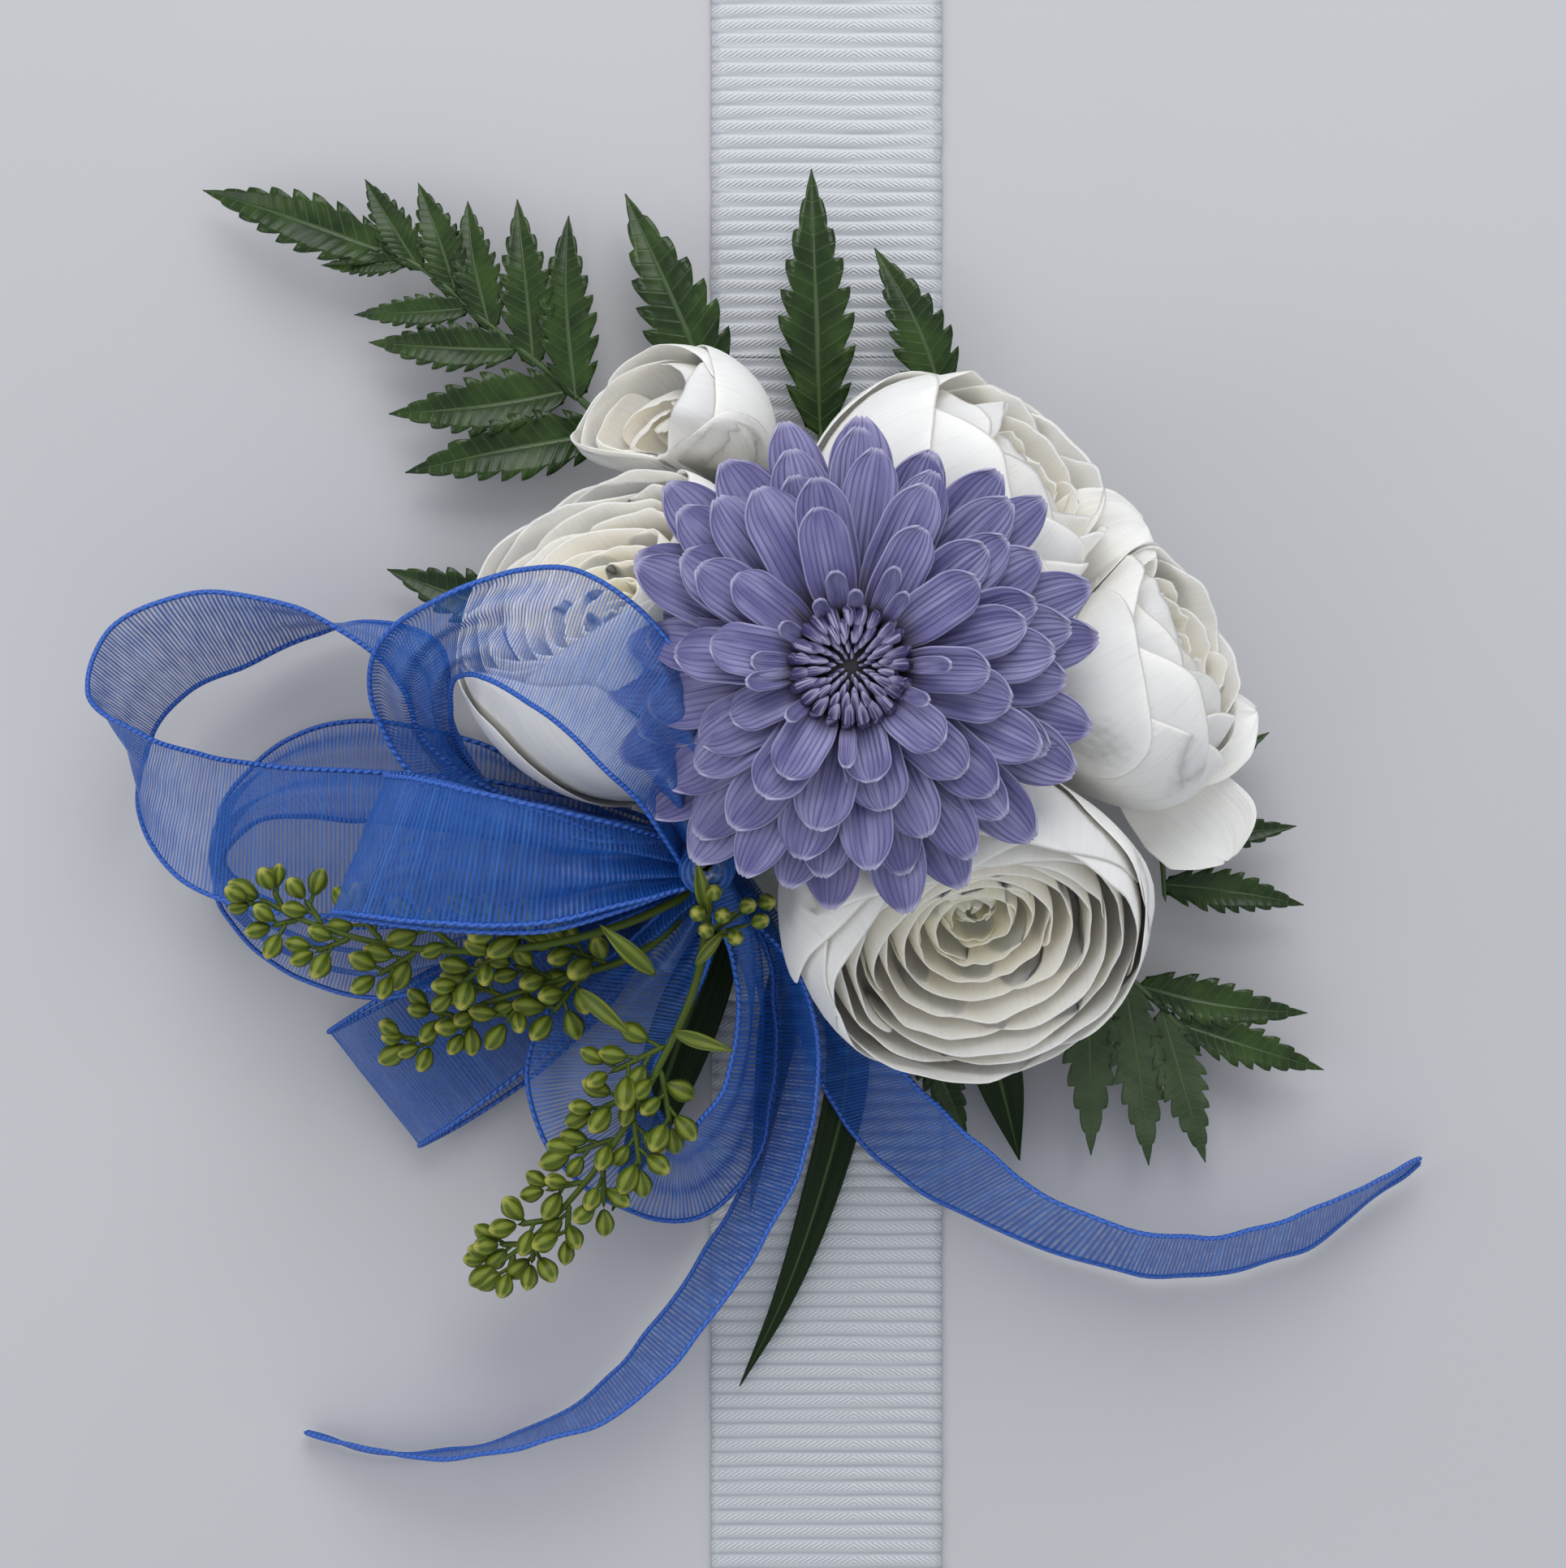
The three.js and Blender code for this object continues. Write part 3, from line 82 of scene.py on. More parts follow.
def deselect():
    bpy.ops.object.select_all(action="DESELECT")


def node(tree, kind, inputs=(), **settings):
    made = tree.nodes.new("ShaderNode" + kind)
    for setting, value in settings.items():
        setattr(made, setting, value)
    for socket, value in dict(inputs).items():
        if isinstance(value, bpy.types.NodeSocket):
            tree.links.new(value, made.inputs[socket])
        else:
            made.inputs[socket].default_value = value
    return made


def mixed(tree, share, first, second, blend="MIX"):
    inputs = {0: share, 6: first, 7: second}
    return node(tree, "Mix", inputs, data_type="RGBA", blend_type=blend).outputs[2]


def maths(tree, operation, first, second=0.0, third=0.0):
    inputs = {0: first, 1: second, 2: third}
    return node(tree, "Math", inputs, operation=operation).outputs[0]


def stepped(tree, value, low, high, from_low=0.0, to_high=1.0):
    inputs = {0: value, 1: low, 2: high, 3: from_low, 4: to_high}
    return node(tree, "MapRange", inputs, interpolation_type="SMOOTHSTEP").outputs[0]


def bumped(tree, height, strength, distance):
    inputs = {"Height": height, "Strength": strength, "Distance": distance}
    return node(tree, "Bump", inputs).outputs[0]


def surface(name, plain):
    """A new material and the Principled shader in it, with its plain values set."""
    material = bpy.data.materials.new(name)
    material.use_nodes = True
    shader = material.node_tree.nodes["Principled BSDF"]
    for socket, value in plain.items():
        shader.inputs[socket].default_value = value
    return material, material.node_tree, shader.inputs


def joined_up(tree, inputs, **sources):
    for socket, source in sources.items():
        tree.links.new(source, inputs[socket.replace("_", " ")])


def solid_places(tree):
    return node(tree, "TexCoord").outputs["Object"]


def sheet_places(tree):
    """Places on a piece's own UV map, and their shares across and along it."""
    places = node(tree, "UVMap", uv_map="UVMap").outputs[0]
    apart = node(tree, "SeparateXYZ", {0: places}).outputs
    return places, apart["X"], apart["Y"]


def off_middle(tree, across):
    return maths(tree, "ABSOLUTE", maths(tree, "MULTIPLY_ADD", across, 2, -1))


def cloudy(tree, places, scale, detail, distortion=0.0):
    """A cloudy pattern, stretched where its scale is three numbers."""
    if isinstance(scale, tuple):
        places = node(tree, "Mapping", {"Vector": places, "Scale": scale}).outputs[0]
        scale = 1
    inputs = {"Vector": places, "Scale": scale, "Detail": detail, "Distortion": distortion}
    return node(tree, "TexNoise", inputs).outputs[0]


def table_top():
    material, tree, inputs = surface("table", {"Roughness": 0.7, "Specular IOR Level": 0.2})
    cloud = cloudy(tree, solid_places(tree), 9, 3)
    shade = tuple(table_patch_share * channel for channel in table_colour[:3]) + (1,)
    joined_up(tree, inputs, Base_Color=mixed(tree, stepped(tree, cloud, 0.3, 0.7), table_colour, shade))
    return material


deselect()
bpy.ops.mesh.primitive_plane_add(size=table_size, location=(0, 0, -table_drop))
table = bpy.context.object
table.name = "table"
table.data.materials.append(table_top())

sky = bpy.data.worlds.new("sky")
sky.use_nodes = True
sky.node_tree.nodes["Background"].inputs["Color"].default_value = sky_colour
sky.node_tree.nodes["Background"].inputs["Strength"].default_value = sky_strength
bpy.context.scene.world = sky


def window(name, place, size, watts):
    lamp = bpy.data.lights.new(name, "AREA")
    lamp.size = size
    lamp.energy = watts
    made = bpy.data.objects.new(name, lamp)
    made.location = place
    made.rotation_euler = Vector(place).to_track_quat("Z", "Y").to_euler()
    bpy.context.scene.collection.objects.link(made)


window("window", window_place, window_size, window_watts)
window("fill", fill_place, window_size, fill_watts)


# The band is white grosgrain ribbon: cords of two twisted strands run across it and stand up as ribs. It is
# cut plain at both ends and is free to bend round a wrist.
band_width = 25.4 * mm
band_thickness = 0.6 * mm
band_end = 108 * mm
rib_pitch = 1.6 * mm
rib_relief = 0.095 * mm
rib_wander = 0.3 * mm
edge_wander = 0.16 * mm
rows_per_rib = 6
band_columns = 22
bend_reach = 9 * mm
upper_bends = (27.15 * mm, 67 * mm)
lower_bends = (-27.15 * mm, -62 * mm)
band_colour = (0.4, 0.41, 0.435, 1)
band_groove_painted_shade = (0.27, 0.285, 0.32, 1)
band_thread_painted_highlight = (0.66, 0.67, 0.69, 1)
thread_meeting = 3 * mm
twists_across = 2.4
twists_along = 3.6


def grid(name, columns, rows, shape, measure=None):
    """A primitive grid whose points are moved to shape(across, along), which both run from 0 to 1."""
    deselect()
    bpy.ops.mesh.primitive_grid_add(x_subdivisions=columns, y_subdivisions=rows, size=1)
    piece = bpy.context.object
    piece.name = name
    mesh = piece.data
    shares = [(point.co.x + 0.5, point.co.y + 0.5) for point in mesh.vertices]
    for point, share in zip(mesh.vertices, shares):
        point.co = shape(*share)
    if measure:
        layer = mesh.uv_layers.active.data
        for loop in mesh.loops:
            layer[loop.index].uv = measure(*shares[loop.vertex_index])
    return piece


def joined(name, pieces):
    deselect()
    for piece in pieces:
        piece.select_set(True)
    bpy.context.view_layer.objects.active = pieces[0]
    if len(pieces) > 1:
        bpy.ops.object.join()
    pieces[0].name = name
    pieces[0].data.name = name
    return pieces[0]


def finished(piece, thickness=0.0, levels=0):
    """Gives the piece its thickness and its smooth surface, and applies both."""
    deselect()
    piece.select_set(True)
    bpy.context.view_layer.objects.active = piece
    if thickness:
        wall = piece.modifiers.new("thickness", "SOLIDIFY")
        wall.thickness = thickness
        wall.offset = 0
        bpy.ops.object.modifier_apply(modifier=wall.name)
    if levels:
        smooth = piece.modifiers.new("smooth", "SUBSURF")
        smooth.levels = levels
        smooth.render_levels = levels
        bpy.ops.object.modifier_apply(modifier=smooth.name)
    bpy.ops.object.shade_smooth()
    return piece


def grosgrain():
    material, tree, inputs = surface(
        "grosgrain", {"Roughness": 0.42, "Specular IOR Level": 0.9, "Sheen Weight": 0.1}
    )
    places = solid_places(tree)
    apart = node(tree, "SeparateXYZ", {0: places})
    turn = 2 * math.pi / rib_pitch
    along = maths(tree, "MULTIPLY_ADD", cloudy(tree, places, 120, 1), rib_wander, apart.outputs["Y"])
    groove = maths(tree, "COSINE", maths(tree, "MULTIPLY", along, turn))
    mirrored = maths(tree, "ABSOLUTE", maths(tree, "SUBTRACT", apart.outputs["X"], thread_meeting))
    lengthwise = maths(tree, "MULTIPLY", along, twists_along * turn)
    strand = maths(tree, "MULTIPLY_ADD", mirrored, twists_across * turn, lengthwise)
    crest = stepped(tree, groove, -0.7, 0.3, 1, 0)
    twist = maths(tree, "MULTIPLY", maths(tree, "SINE", strand), crest)
    fibre = cloudy(tree, places, 4200, 2)
    # Painted shade: the colour is darker in the grooves between the ribs.
    painted_groove_shade = mixed(tree, stepped(tree, groove, 0.6, 1, 0, 0.9), band_colour, band_groove_painted_shade)
    # Painted highlight: the raised strands on the rib crests are lighter in the colour.
    colour = mixed(tree, stepped(tree, twist, 0, 0.8, 0, 0.75), painted_groove_shade, band_thread_painted_highlight)
    height = maths(tree, "MULTIPLY_ADD", fibre, 0.6, maths(tree, "MULTIPLY", twist, 0.9))
    joined_up(tree, inputs, Base_Color=colour, Normal=bumped(tree, height, 0.5, 0.1 * mm))
    return material


def band_stretch(name, start, end):
    """A stretch of ribbon from one place along the band to another, with its ribs."""
    length = end - start

    def shape(across, along):
        y = start + along * length
        x = (across - 0.5) * band_width
        side = 2 * across - 1
        x += side ** 9 * edge_wander * noise.noise(Vector((side, y / (2 * rib_pitch), 0)))
        sway = rib_wander * noise.noise(Vector((x / (9 * mm), y / (4 * mm), 0)))
        crest = -math.cos(2 * math.pi * (y + sway) / rib_pitch)
        rise = rib_relief * crest * (1 - abs(side) ** 12)
        return (x, y, band_thickness / 2 + rise)

    rows = round(rows_per_rib * abs(length) / rib_pitch)
    piece = grid(name, band_columns, rows, shape)
    return finished(piece, band_thickness - 2 * rib_relief)


band_surface = grosgrain()
for side, bends, end in (("upper", upper_bends, band_end), ("lower", lower_bends, -band_end)):
    seam = (bends[0] + bends[1]) / 2
    away = math.copysign(bend_reach, end)
    stretches = (
        ("inner", 0, seam, bends[0], "root", side + "_inner", ("band_" + side + "_inner",)),
        ("outer", seam, end, bends[1], side + "_inner", side + "_end", ("band_" + side + "_end",)),
    )
    for place, start, stop, bend, near_body, far_body, stood_for in stretches:
        piece = band_stretch("band_ribbon_" + side + "_" + place, start, stop)
        piece.data.materials.append(band_surface)
        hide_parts(*stood_for)
        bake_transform(piece)
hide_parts("band_middle")


# The backing pad is soft pressed felt with rounded corners. It is cut from a flat sheet and glued on
# the band, so that the wires and leaf stems don't press into the wrist.
felt_half_width = 23 * mm
felt_half_length = 29 * mm
felt_corner = 12 * mm
felt_place = (1.5 * mm, 5 * mm)
felt_middle_height = 1.5 * mm
felt_thickness = 1.05 * mm
felt_colour = (0.74, 0.76, 0.72, 1)
felt_shade = (0.58, 0.6, 0.56, 1)


def felt():
    material, tree, inputs = surface("felt", {"Roughness": 0.95, "Sheen Weight": 0.5, "Sheen Roughness": 0.6})
    hair = cloudy(tree, solid_places(tree), 1900, 4, 2)
    colour = mixed(tree, stepped(tree, hair, 0.35, 0.7), felt_shade, felt_colour)
    joined_up(tree, inputs, Base_Color=colour, Normal=bumped(tree, hair, 0.6, 0.15 * mm))
    return material


def felt_shape(across, along):
    x = (2 * across - 1) * felt_half_width
    y = (2 * along - 1) * felt_half_length
    over_x = max(abs(x) - felt_half_width + felt_corner, 0)
    over_y = max(abs(y) - felt_half_length + felt_corner, 0)
    if over_x and over_y:
        shrink = 1 - max(over_x, over_y) / math.hypot(over_x, over_y)
        x -= math.copysign(over_x * shrink, x)
        y -= math.copysign(over_y * shrink, y)
    return (x + felt_place[0], y + felt_place[1], felt_middle_height)


pad = finished(grid("felt_backing_pad", 24, 30, felt_shape), felt_thickness, 1)
pad.data.materials.append(felt())
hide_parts("felt_pad")
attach(pad, "root")


# The binding that the stems meet at is waxed crepe tape, wound upwards in overlapping turns and stuck to
# itself. The blooms' stems end at its side.
binding_place = Vector((1.8 * mm, 11.5 * mm, 0))
binding_bottom = 2.4 * mm
binding_top = 13.4 * mm
binding_radius = 3 * mm
tape_step = 2.75 * mm
tape_depth = 0.25 * mm
tape_colour = (0.11, 0.19, 0.07, 1)
tape_light_colour = (0.17, 0.27, 0.11, 1)
weld_distance = 0.004 * mm


def weld(piece):
    """Joins the points that lie together and turns every face outwards."""
    deselect()
    piece.select_set(True)
    bpy.context.view_layer.objects.active = piece
    bpy.ops.object.mode_set(mode="EDIT")
    bpy.ops.mesh.select_all(action="SELECT")
    bpy.ops.mesh.remove_doubles(threshold=weld_distance)
    bpy.ops.mesh.normals_make_consistent(inside=False)
    bpy.ops.object.mode_set(mode="OBJECT")
    return piece


def rod(name, path, radius, sides, rows, measure=None):
    """A closed round rod along path(along), with radius(along, turn) at each place."""

    def shape(across, along):
        ahead = path(min(along + 0.01, 1)) - path(max(along - 0.01, 0))
        level = ahead.orthogonal() if abs(ahead.z) > 0.9 * ahead.length else Vector((-ahead.y, ahead.x, 0))
        aside = level.normalized()
        above = ahead.cross(aside).normalized()
        turn = 2 * math.pi * across
        reach = radius(along, turn) if 0 < along < 1 else 0
        return path(along) + reach * (math.cos(turn) * aside + math.sin(turn) * above)

    return weld(grid(name, sides, rows, shape, measure))


def crepe_tape():
    material, tree, inputs = surface("crepe_tape", {"Roughness": 0.6, "Specular IOR Level": 0.35})
    crinkle = cloudy(tree, solid_places(tree), 2600, 2, 1)
    colour = mixed(tree, stepped(tree, crinkle, 0.35, 0.65), tape_colour, tape_light_colour)
    joined_up(tree, inputs, Base_Color=colour, Normal=bumped(tree, crinkle, 0.4, 0.1 * mm))
    return material


def binding_axis(along):
    return binding_place + Vector((0, 0, binding_bottom + along * (binding_top - binding_bottom)))


def binding_girth(along, turn):
    wound = along * (binding_top - binding_bottom) / tape_step + turn / (2 * math.pi)
    return binding_radius - tape_depth * (wound % 1)


tape = finished(rod("stem_tape", binding_axis, binding_girth, 24, 44))
tape.data.materials.append(crepe_tape())
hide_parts("stem_binding")
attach(tape, "root")


# The bow is gathered with two strands of thin silvery wire twisted together. They stand on the felt
# beside the binding, and every loop starts and ends at them.
wire_place = Vector((-12.6 * mm, -8.6 * mm, 0))
wire_bottom = 2.4 * mm
wire_top = 31 * mm
wire_radius = 1.8 * mm
strand_radius = 0.82 * mm
strand_turns = 7
wire_colour = (0.46, 0.48, 0.5, 1)
gather_gap = 0.3 * mm


def drawn_wire():
    material, tree, inputs = surface("drawn_wire", {"Metallic": 1, "Base Color": wire_colour})
    grain = cloudy(tree, solid_places(tree), 1500, 2)
    joined_up(tree, inputs, Roughness=stepped(tree, grain, 0.3, 0.7, 0.28, 0.5))
    return material


def strand_path(phase):
    def path(along):
        turn = 2 * math.pi * (strand_turns * along + phase)
        reach = wire_radius - strand_radius
        height = wire_bottom + strand_radius + along * (wire_top - wire_bottom - 2 * strand_radius)
        return wire_place + Vector((reach * math.cos(turn), reach * math.sin(turn), height))

    return path


strands = [rod("strand", strand_path(phase), lambda along, turn: strand_radius, 8, 120) for phase in (0, 0.5)]
wire = finished(joined("bow_gathering_wire", strands))
wire.data.materials.append(drawn_wire())
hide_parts("bow_wire")
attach(wire, "root")


# A ranunculus bloom is many thin petals wound in a spiral round a green heart: broad white ones outside,
# smaller and creamier ones inside, where the cream is partly painted warm shade for the hollow. They grow
# from one foot and are pressed flat where blooms touch.
blooms = {
    "a": (12.4, (-17, 35.6, 14), (-0.62, 0.5, 0.6), 0.4),
    "b": (19.3, (-21.1, 16.7, 20.4), (-0.56, 0.64, 0.53), 0.9),
    "c": (19.5, (13.2, 25, 20), (0.64, 0.56, 0.31), 1.7),
    "d": (16.9, (28.2, 11.4, 17.4), (0.8, 0.4, 0.35), 2.3),
    "e": (20.3, (14.6, -12.4, 20.4), (0.15, -0.64, 0.75), 0.2),
}
bloom_floor = 6.2 * mm
bloom_ceiling = 37.4 * mm
squeeze_power = 8
petal_reach = 1.05
# One bloom lies over another: how far the place where they touch moves towards the lower one.
overlaps = {("b", "a"): 3.4 * mm, ("a", "b"): -3.4 * mm}
petal_thickness = 0.18 * mm
petal_columns = 12
petal_rows = 10
golden_turn = math.pi * (3 - math.sqrt(5))
petal_foot_angle = 0.16
petal_white = (0.88, 0.86, 0.81, 1)
petal_cream_and_painted_shade = (0.97, 0.9, 0.77, 1)
petal_heart_and_painted_shade = (0.93, 0.86, 0.58, 1)
vein_colour = (0.7, 0.66, 0.56, 1)
# For each layer of petals: how many, and from its first petal to its last the equator radius, rim ring radius
# and rim height as shares of the bloom's radius, the half width round the bloom, how far the sides of the rim
# dip, and how far its colour goes to the heart's cream and green, which is partly the petals' own tone and
# partly painted warm shade. Each rim past the outermost few is up to the spread higher or lower.
outermost_petals = 5
rim_spread = 0.03
open_layers = {
    "guard": (8, (0.98, 0.94), (0.86, 0.75), (0.42, 0.57), (1.1, 1.1), (0.1, 0.1), (0.02, 0.12)),
    "whorl": (12, (0.91, 0.65), (0.77, 0.62), (0.54, 0.43), (1.15, 1.1), (0.09, 0.07), (0.16, 0.38)),
    "heart": (28, (0.63, 0.06), (0.6, 0), (0.42, 0.06), (1.15, 1.6), (0.07, 0.01), (0.4, 0.98)),
}
smooth_layers = {
    "guard": (5, (0.98, 0.93), (0.82, 0.68), (0.4, 0.6), (1.25, 1.2), (0.12, 0.1), (0, 0.08)),
    "whorl": (5, (0.88, 0.74), (0.62, 0.5), (0.55, 0.42), (1.2, 1.2), (0.1, 0.08), (0.2, 0.35)),
    "heart": (7, (0.66, 0.36), (0.4, 0.12), (0.3, 0.06), (1.2, 1.35), (0.06, 0.04), (0.35, 0.65)),
}
crowned_layers = {
    "guard": (7, (0.98, 0.93), (0.8, 0.62), (0.52, 0.72), (1.2, 1.15), (0.17, 0.16), (0, 0.05)),
    "whorl": (9, (0.91, 0.72), (0.62, 0.42), (0.72, 0.78), (1.1, 1.1), (0.15, 0.12), (0.05, 0.3)),
    "heart": (12, (0.68, 0.26), (0.38, 0.08), (0.74, 0.6), (1.1, 1.35), (0.08, 0.05), (0.3, 0.8)),
}
bloom_layers = {
    "a": smooth_layers, "b": open_layers, "c": crowned_layers, "d": crowned_layers, "e": open_layers,
}
# Guard petals that have opened away from a bloom: from foot to rim the middle of the petal and half its
# width, in millimetres.
loose_petals = {
    "c": (
        (21, 20, 13, 3.5), (25, 22.5, 17, 6), (29, 25, 18.6, 6.8), (32, 26.6, 18, 5.4), (33.8, 27.6, 16.4, 4),
    ),
    "d": (
        (32, 3.6, 9, 3), (36, 4.2, 11.5, 5), (40, 5.4, 13.4, 5.6), (43.6, 6.8, 13.6, 4.4), (46, 7.8, 13, 2),
    ),
}
open_petal_stations = (
    (32.6, 1.4, 9, 3), (35.4, -0.8, 9.6, 4.7), (38.2, -2.8, 10.8, 5.9), (41, -5.4, 12, 5.9),
    (43, -8.2, 12.8, 4.4),
)
open_petal_cup = 0.3
loose_petal_cup = 0.16
petal_crimp = 0.5 * mm


def petal_material():
    material, tree, inputs = surface(
        "ranunculus_petal",
        {"Roughness": 0.5, "Subsurface Radius": (1, 0.94, 0.78), "Subsurface Scale": 1.6 * mm,
         "Specular IOR Level": 0.3, "Sheen Weight": 0.1},
    )
    places = node(tree, "UVMap", uv_map="UVMap").outputs[0]
    inward = node(tree, "Attribute", attribute_name="inward").outputs["Fac"]
    veins = cloudy(tree, places, (46, 2.2, 1), 3, 0.3)
    folds = cloudy(tree, places, (9, 1.4, 1), 1)
    # The creamier, greener colour towards the heart is partly the petals' own tone and partly painted warm
    # shade for the hollow.
    creamy = mixed(tree, stepped(tree, inward, 0, 0.55), petal_white, petal_cream_and_painted_shade)
    green = mixed(tree, stepped(tree, inward, 0.45, 1.1), creamy, petal_heart_and_painted_shade)
    vein_shade = mixed(tree, stepped(tree, veins, 0.45, 0.72, 0, 0.22), green, vein_colour)
    height = maths(tree, "MULTIPLY_ADD", folds, 1.8, veins)
    joined_up(tree, inputs, Base_Color=vein_shade, Subsurface_Weight=stepped(tree, inward, 0, 0.3, 0.4, 0.95),
              Normal=bumped(tree, height, 0.3, 0.25 * mm))
    return material


def bloom_placer(name):
    """Places a point of a bloom by its angle up from the foot, its angle round and its share of the
    radius, pressed in behind the neighbouring blooms, the leaves below and the flower above."""
    radius, centre, facing, _ = blooms[name]
    middle = Vector(centre) * mm
    walls = [
        (Vector((0, 0, -1)), middle.z - bloom_floor),
        (Vector((0, 0, 1)), bloom_ceiling - middle.z),
    ]
    for other, (other_radius, other_centre, _, _) in blooms.items():
        span = Vector(other_centre) * mm - middle
        if other == name or span.length > petal_reach * (radius + other_radius) * mm:
            continue
        apart = span.length
        flat = (apart ** 2 + (radius * mm) ** 2 - (other_radius * mm) ** 2) / (2 * apart)
        flat += overlaps.get((name, other), 0)
        walls.append((span.normalized(), flat))
    turn = Vector((0, 0, 1)).rotation_difference(Vector(facing))

    def place(up, round_angle, share):
        level = math.sin(up)
        way = turn @ Vector((level * math.cos(round_angle), level * math.sin(round_angle), -math.cos(up)))
        total = 1
        for normal, distance in walls:
            press = petal_reach * radius * mm * way.dot(normal) / distance
            if press > 0:
                total += press ** squeeze_power
        return middle + way * (radius * mm * share * total ** (-1 / squeeze_power))

    return place


def smooth_path(points):
    """A centripetal curve through points, as path(along) with along from 0 to 1."""
    points = [Vector(point) for point in points]
    ends = [2 * points[0] - points[1]] + points + [2 * points[-1] - points[-2]]

    def path(along):
        place = min(max(along, 0), 1) * (len(points) - 1)
        span = min(int(place), len(points) - 2)
        share = place - span
        before, start, end, after = ends[span:span + 4]
        first, middle, last = [
            max((b - a).length ** 0.5, 1e-9) for a, b in ((before, start), (start, end), (end, after))
        ]
        leave = (start - before) / first - (end - before) / (first + middle) + (end - start) / middle
        reach = (end - start) / middle - (after - start) / (middle + last) + (after - end) / last
        leave *= middle
        reach *= middle
        bend = 3 * (end - start) - 2 * leave - reach
        twist = 2 * (start - end) + leave + reach
        return start + share * (leave + share * (bend + share * twist))

    return path


def tinted(piece, inward_at):
    shade = piece.data.attributes.new("inward", "FLOAT", "POINT")
    for point, value in zip(piece.data.vertices, shade.data):
        value.value = inward_at(point.index)
    return piece


def petal(place, index, turn, equator, ring, height, half_span, dip, inward):
    """One petal: it climbs from the foot round the bloom and closes over it as far as its rim."""
    rim_share = math.hypot(ring, height)
    rim_angle = math.pi - math.atan2(ring, height)
    seed = 7.3 * index

    def shape(across, along):
        side = 2 * across - 1
        wave = noise.noise(Vector((1.6 * side, seed, 0.5))) + 0.4 * noise.noise(Vector((5 * side, seed, 3)))
        rim = rim_angle * (1 - dip * side ** 2 + 0.03 * wave)
        up = petal_foot_angle + (rim - petal_foot_angle) * along
        climb = max(0, (up - math.pi / 2) / (rim_angle - math.pi / 2))
        share = equator + (rim_share - equator) * climb ** 2
        share += 0.025 * side + 0.03 * along ** 3 * noise.noise(Vector((3 * side, 2 * along, seed)))
        share += 0.022 * along ** 5 * noise.noise(Vector((6 * side, 1.5, seed)))
        width = 0.55 + 0.45 * math.sin(math.pi * min(along * 1.25, 1) / 2)
        return place(up, turn + side * half_span * width * (1 - 0.2 * along ** 4), share)

    piece = grid("petal", petal_columns, petal_rows, shape,
                 lambda across, along: (across + 1.7 * index, along))
    row_length = petal_columns + 1

    # Towards each petal's foot, deep in the bloom, the colour goes further to the heart's: partly own tone,
    # partly painted warm shade.
    def inward_at(point):
        return inward + 0.25 * (1 - point // row_length / petal_rows) * (1 - inward)

    return tinted(piece, inward_at)


def loose_petal(name, stations, cup, seed):
    """A petal that has opened away from its bloom, along the middle of its stations."""
    middle = smooth_path([Vector(station[:3]) * mm for station in stations])
    half = smooth_path([Vector((station[3] * mm, 0, 0)) for station in stations])

    def shape(across, along):
        side = 2 * across - 1
        ahead = middle(min(along + 0.02, 1)) - middle(max(along - 0.02, 0))
        aside = Vector((ahead.y, -ahead.x, 0)).normalized()
        wide = half(along).x * math.sqrt(max(1 - max((along - 0.72) / 0.285, 0) ** 2.5, 0))
        crimp = petal_crimp * noise.noise(Vector((3 * side, 3 * along, seed)))
        rim = -0.06 * wide * side ** 2 + petal_crimp * noise.noise(Vector((4 * side, seed, 0)))
        back = ahead.normalized() * rim
        lift = Vector((0, 0, cup * wide * side ** 2 + crimp))
        return middle(along) + aside * side * wide + back * along + lift

    piece = grid(name, petal_columns, 2 * petal_rows, shape)
    return tinted(piece, lambda point: 0)


petal_surface = petal_material()
petal_places = {name: bloom_placer(name) for name in blooms}
for name, (_, _, _, first_turn) in blooms.items():
    index = 0
    for layer, (count, *ranges) in bloom_layers[name].items():
        petals = []
        for step in range(count):
            share = step / (count - 1)
            values = [first + (last - first) * share for first, last in ranges]
            chance = random.Random(31 * index + ord(name))
            values[2] += chance.uniform(-rim_spread, rim_spread) * (index >= outermost_petals)
            values[3] *= chance.uniform(0.85, 1.12)
            turn = first_turn + golden_turn * index
            petals.append(petal(petal_places[name], index, turn, *values))
            index += 1
        if layer == "guard" and name in loose_petals:
            petals.append(loose_petal("loose_petal", loose_petals[name], loose_petal_cup, index))
        piece = finished(joined("ranunculus_" + name + "_" + layer + "_petals", petals), petal_thickness, 1)
        piece.data.materials.append(petal_surface)
        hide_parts("ranunculus_" + name + "_" + layer)
        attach(piece, "root")
opened = loose_petal("ranunculus_d_opened_petal", open_petal_stations, open_petal_cup, 4)
opened = finished(opened, petal_thickness, 1)
opened.data.materials.append(petal_surface)
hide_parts("ranunculus_d_open_petal")
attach(opened, "root")


# Each bloom sits on a small green calyx and a short cut stem, which bends inwards under the bloom and
# ends at the taped binding.
stem_radius = 1.1 * mm
stem_level = 4.5 * mm
calyx_radius = 3.2 * mm
calyx_height = 1.5 * mm
calyx_gap = 0.6 * mm
stem_colour = (0.16, 0.26, 0.07, 1)
stem_light_colour = (0.3, 0.4, 0.14, 1)


def stem_material():
    material, tree, inputs = surface("green_stem", {"Roughness": 0.5, "Subsurface Weight": 0.1,
                                                    "Subsurface Scale": 0.8 * mm})
    streak = cloudy(tree, solid_places(tree), 700, 3)
    colour = mixed(tree, stepped(tree, streak, 0.35, 0.7), stem_colour, stem_light_colour)
    joined_up(tree, inputs, Base_Color=colour, Normal=bumped(tree, streak, 0.3, 0.1 * mm))
    return material


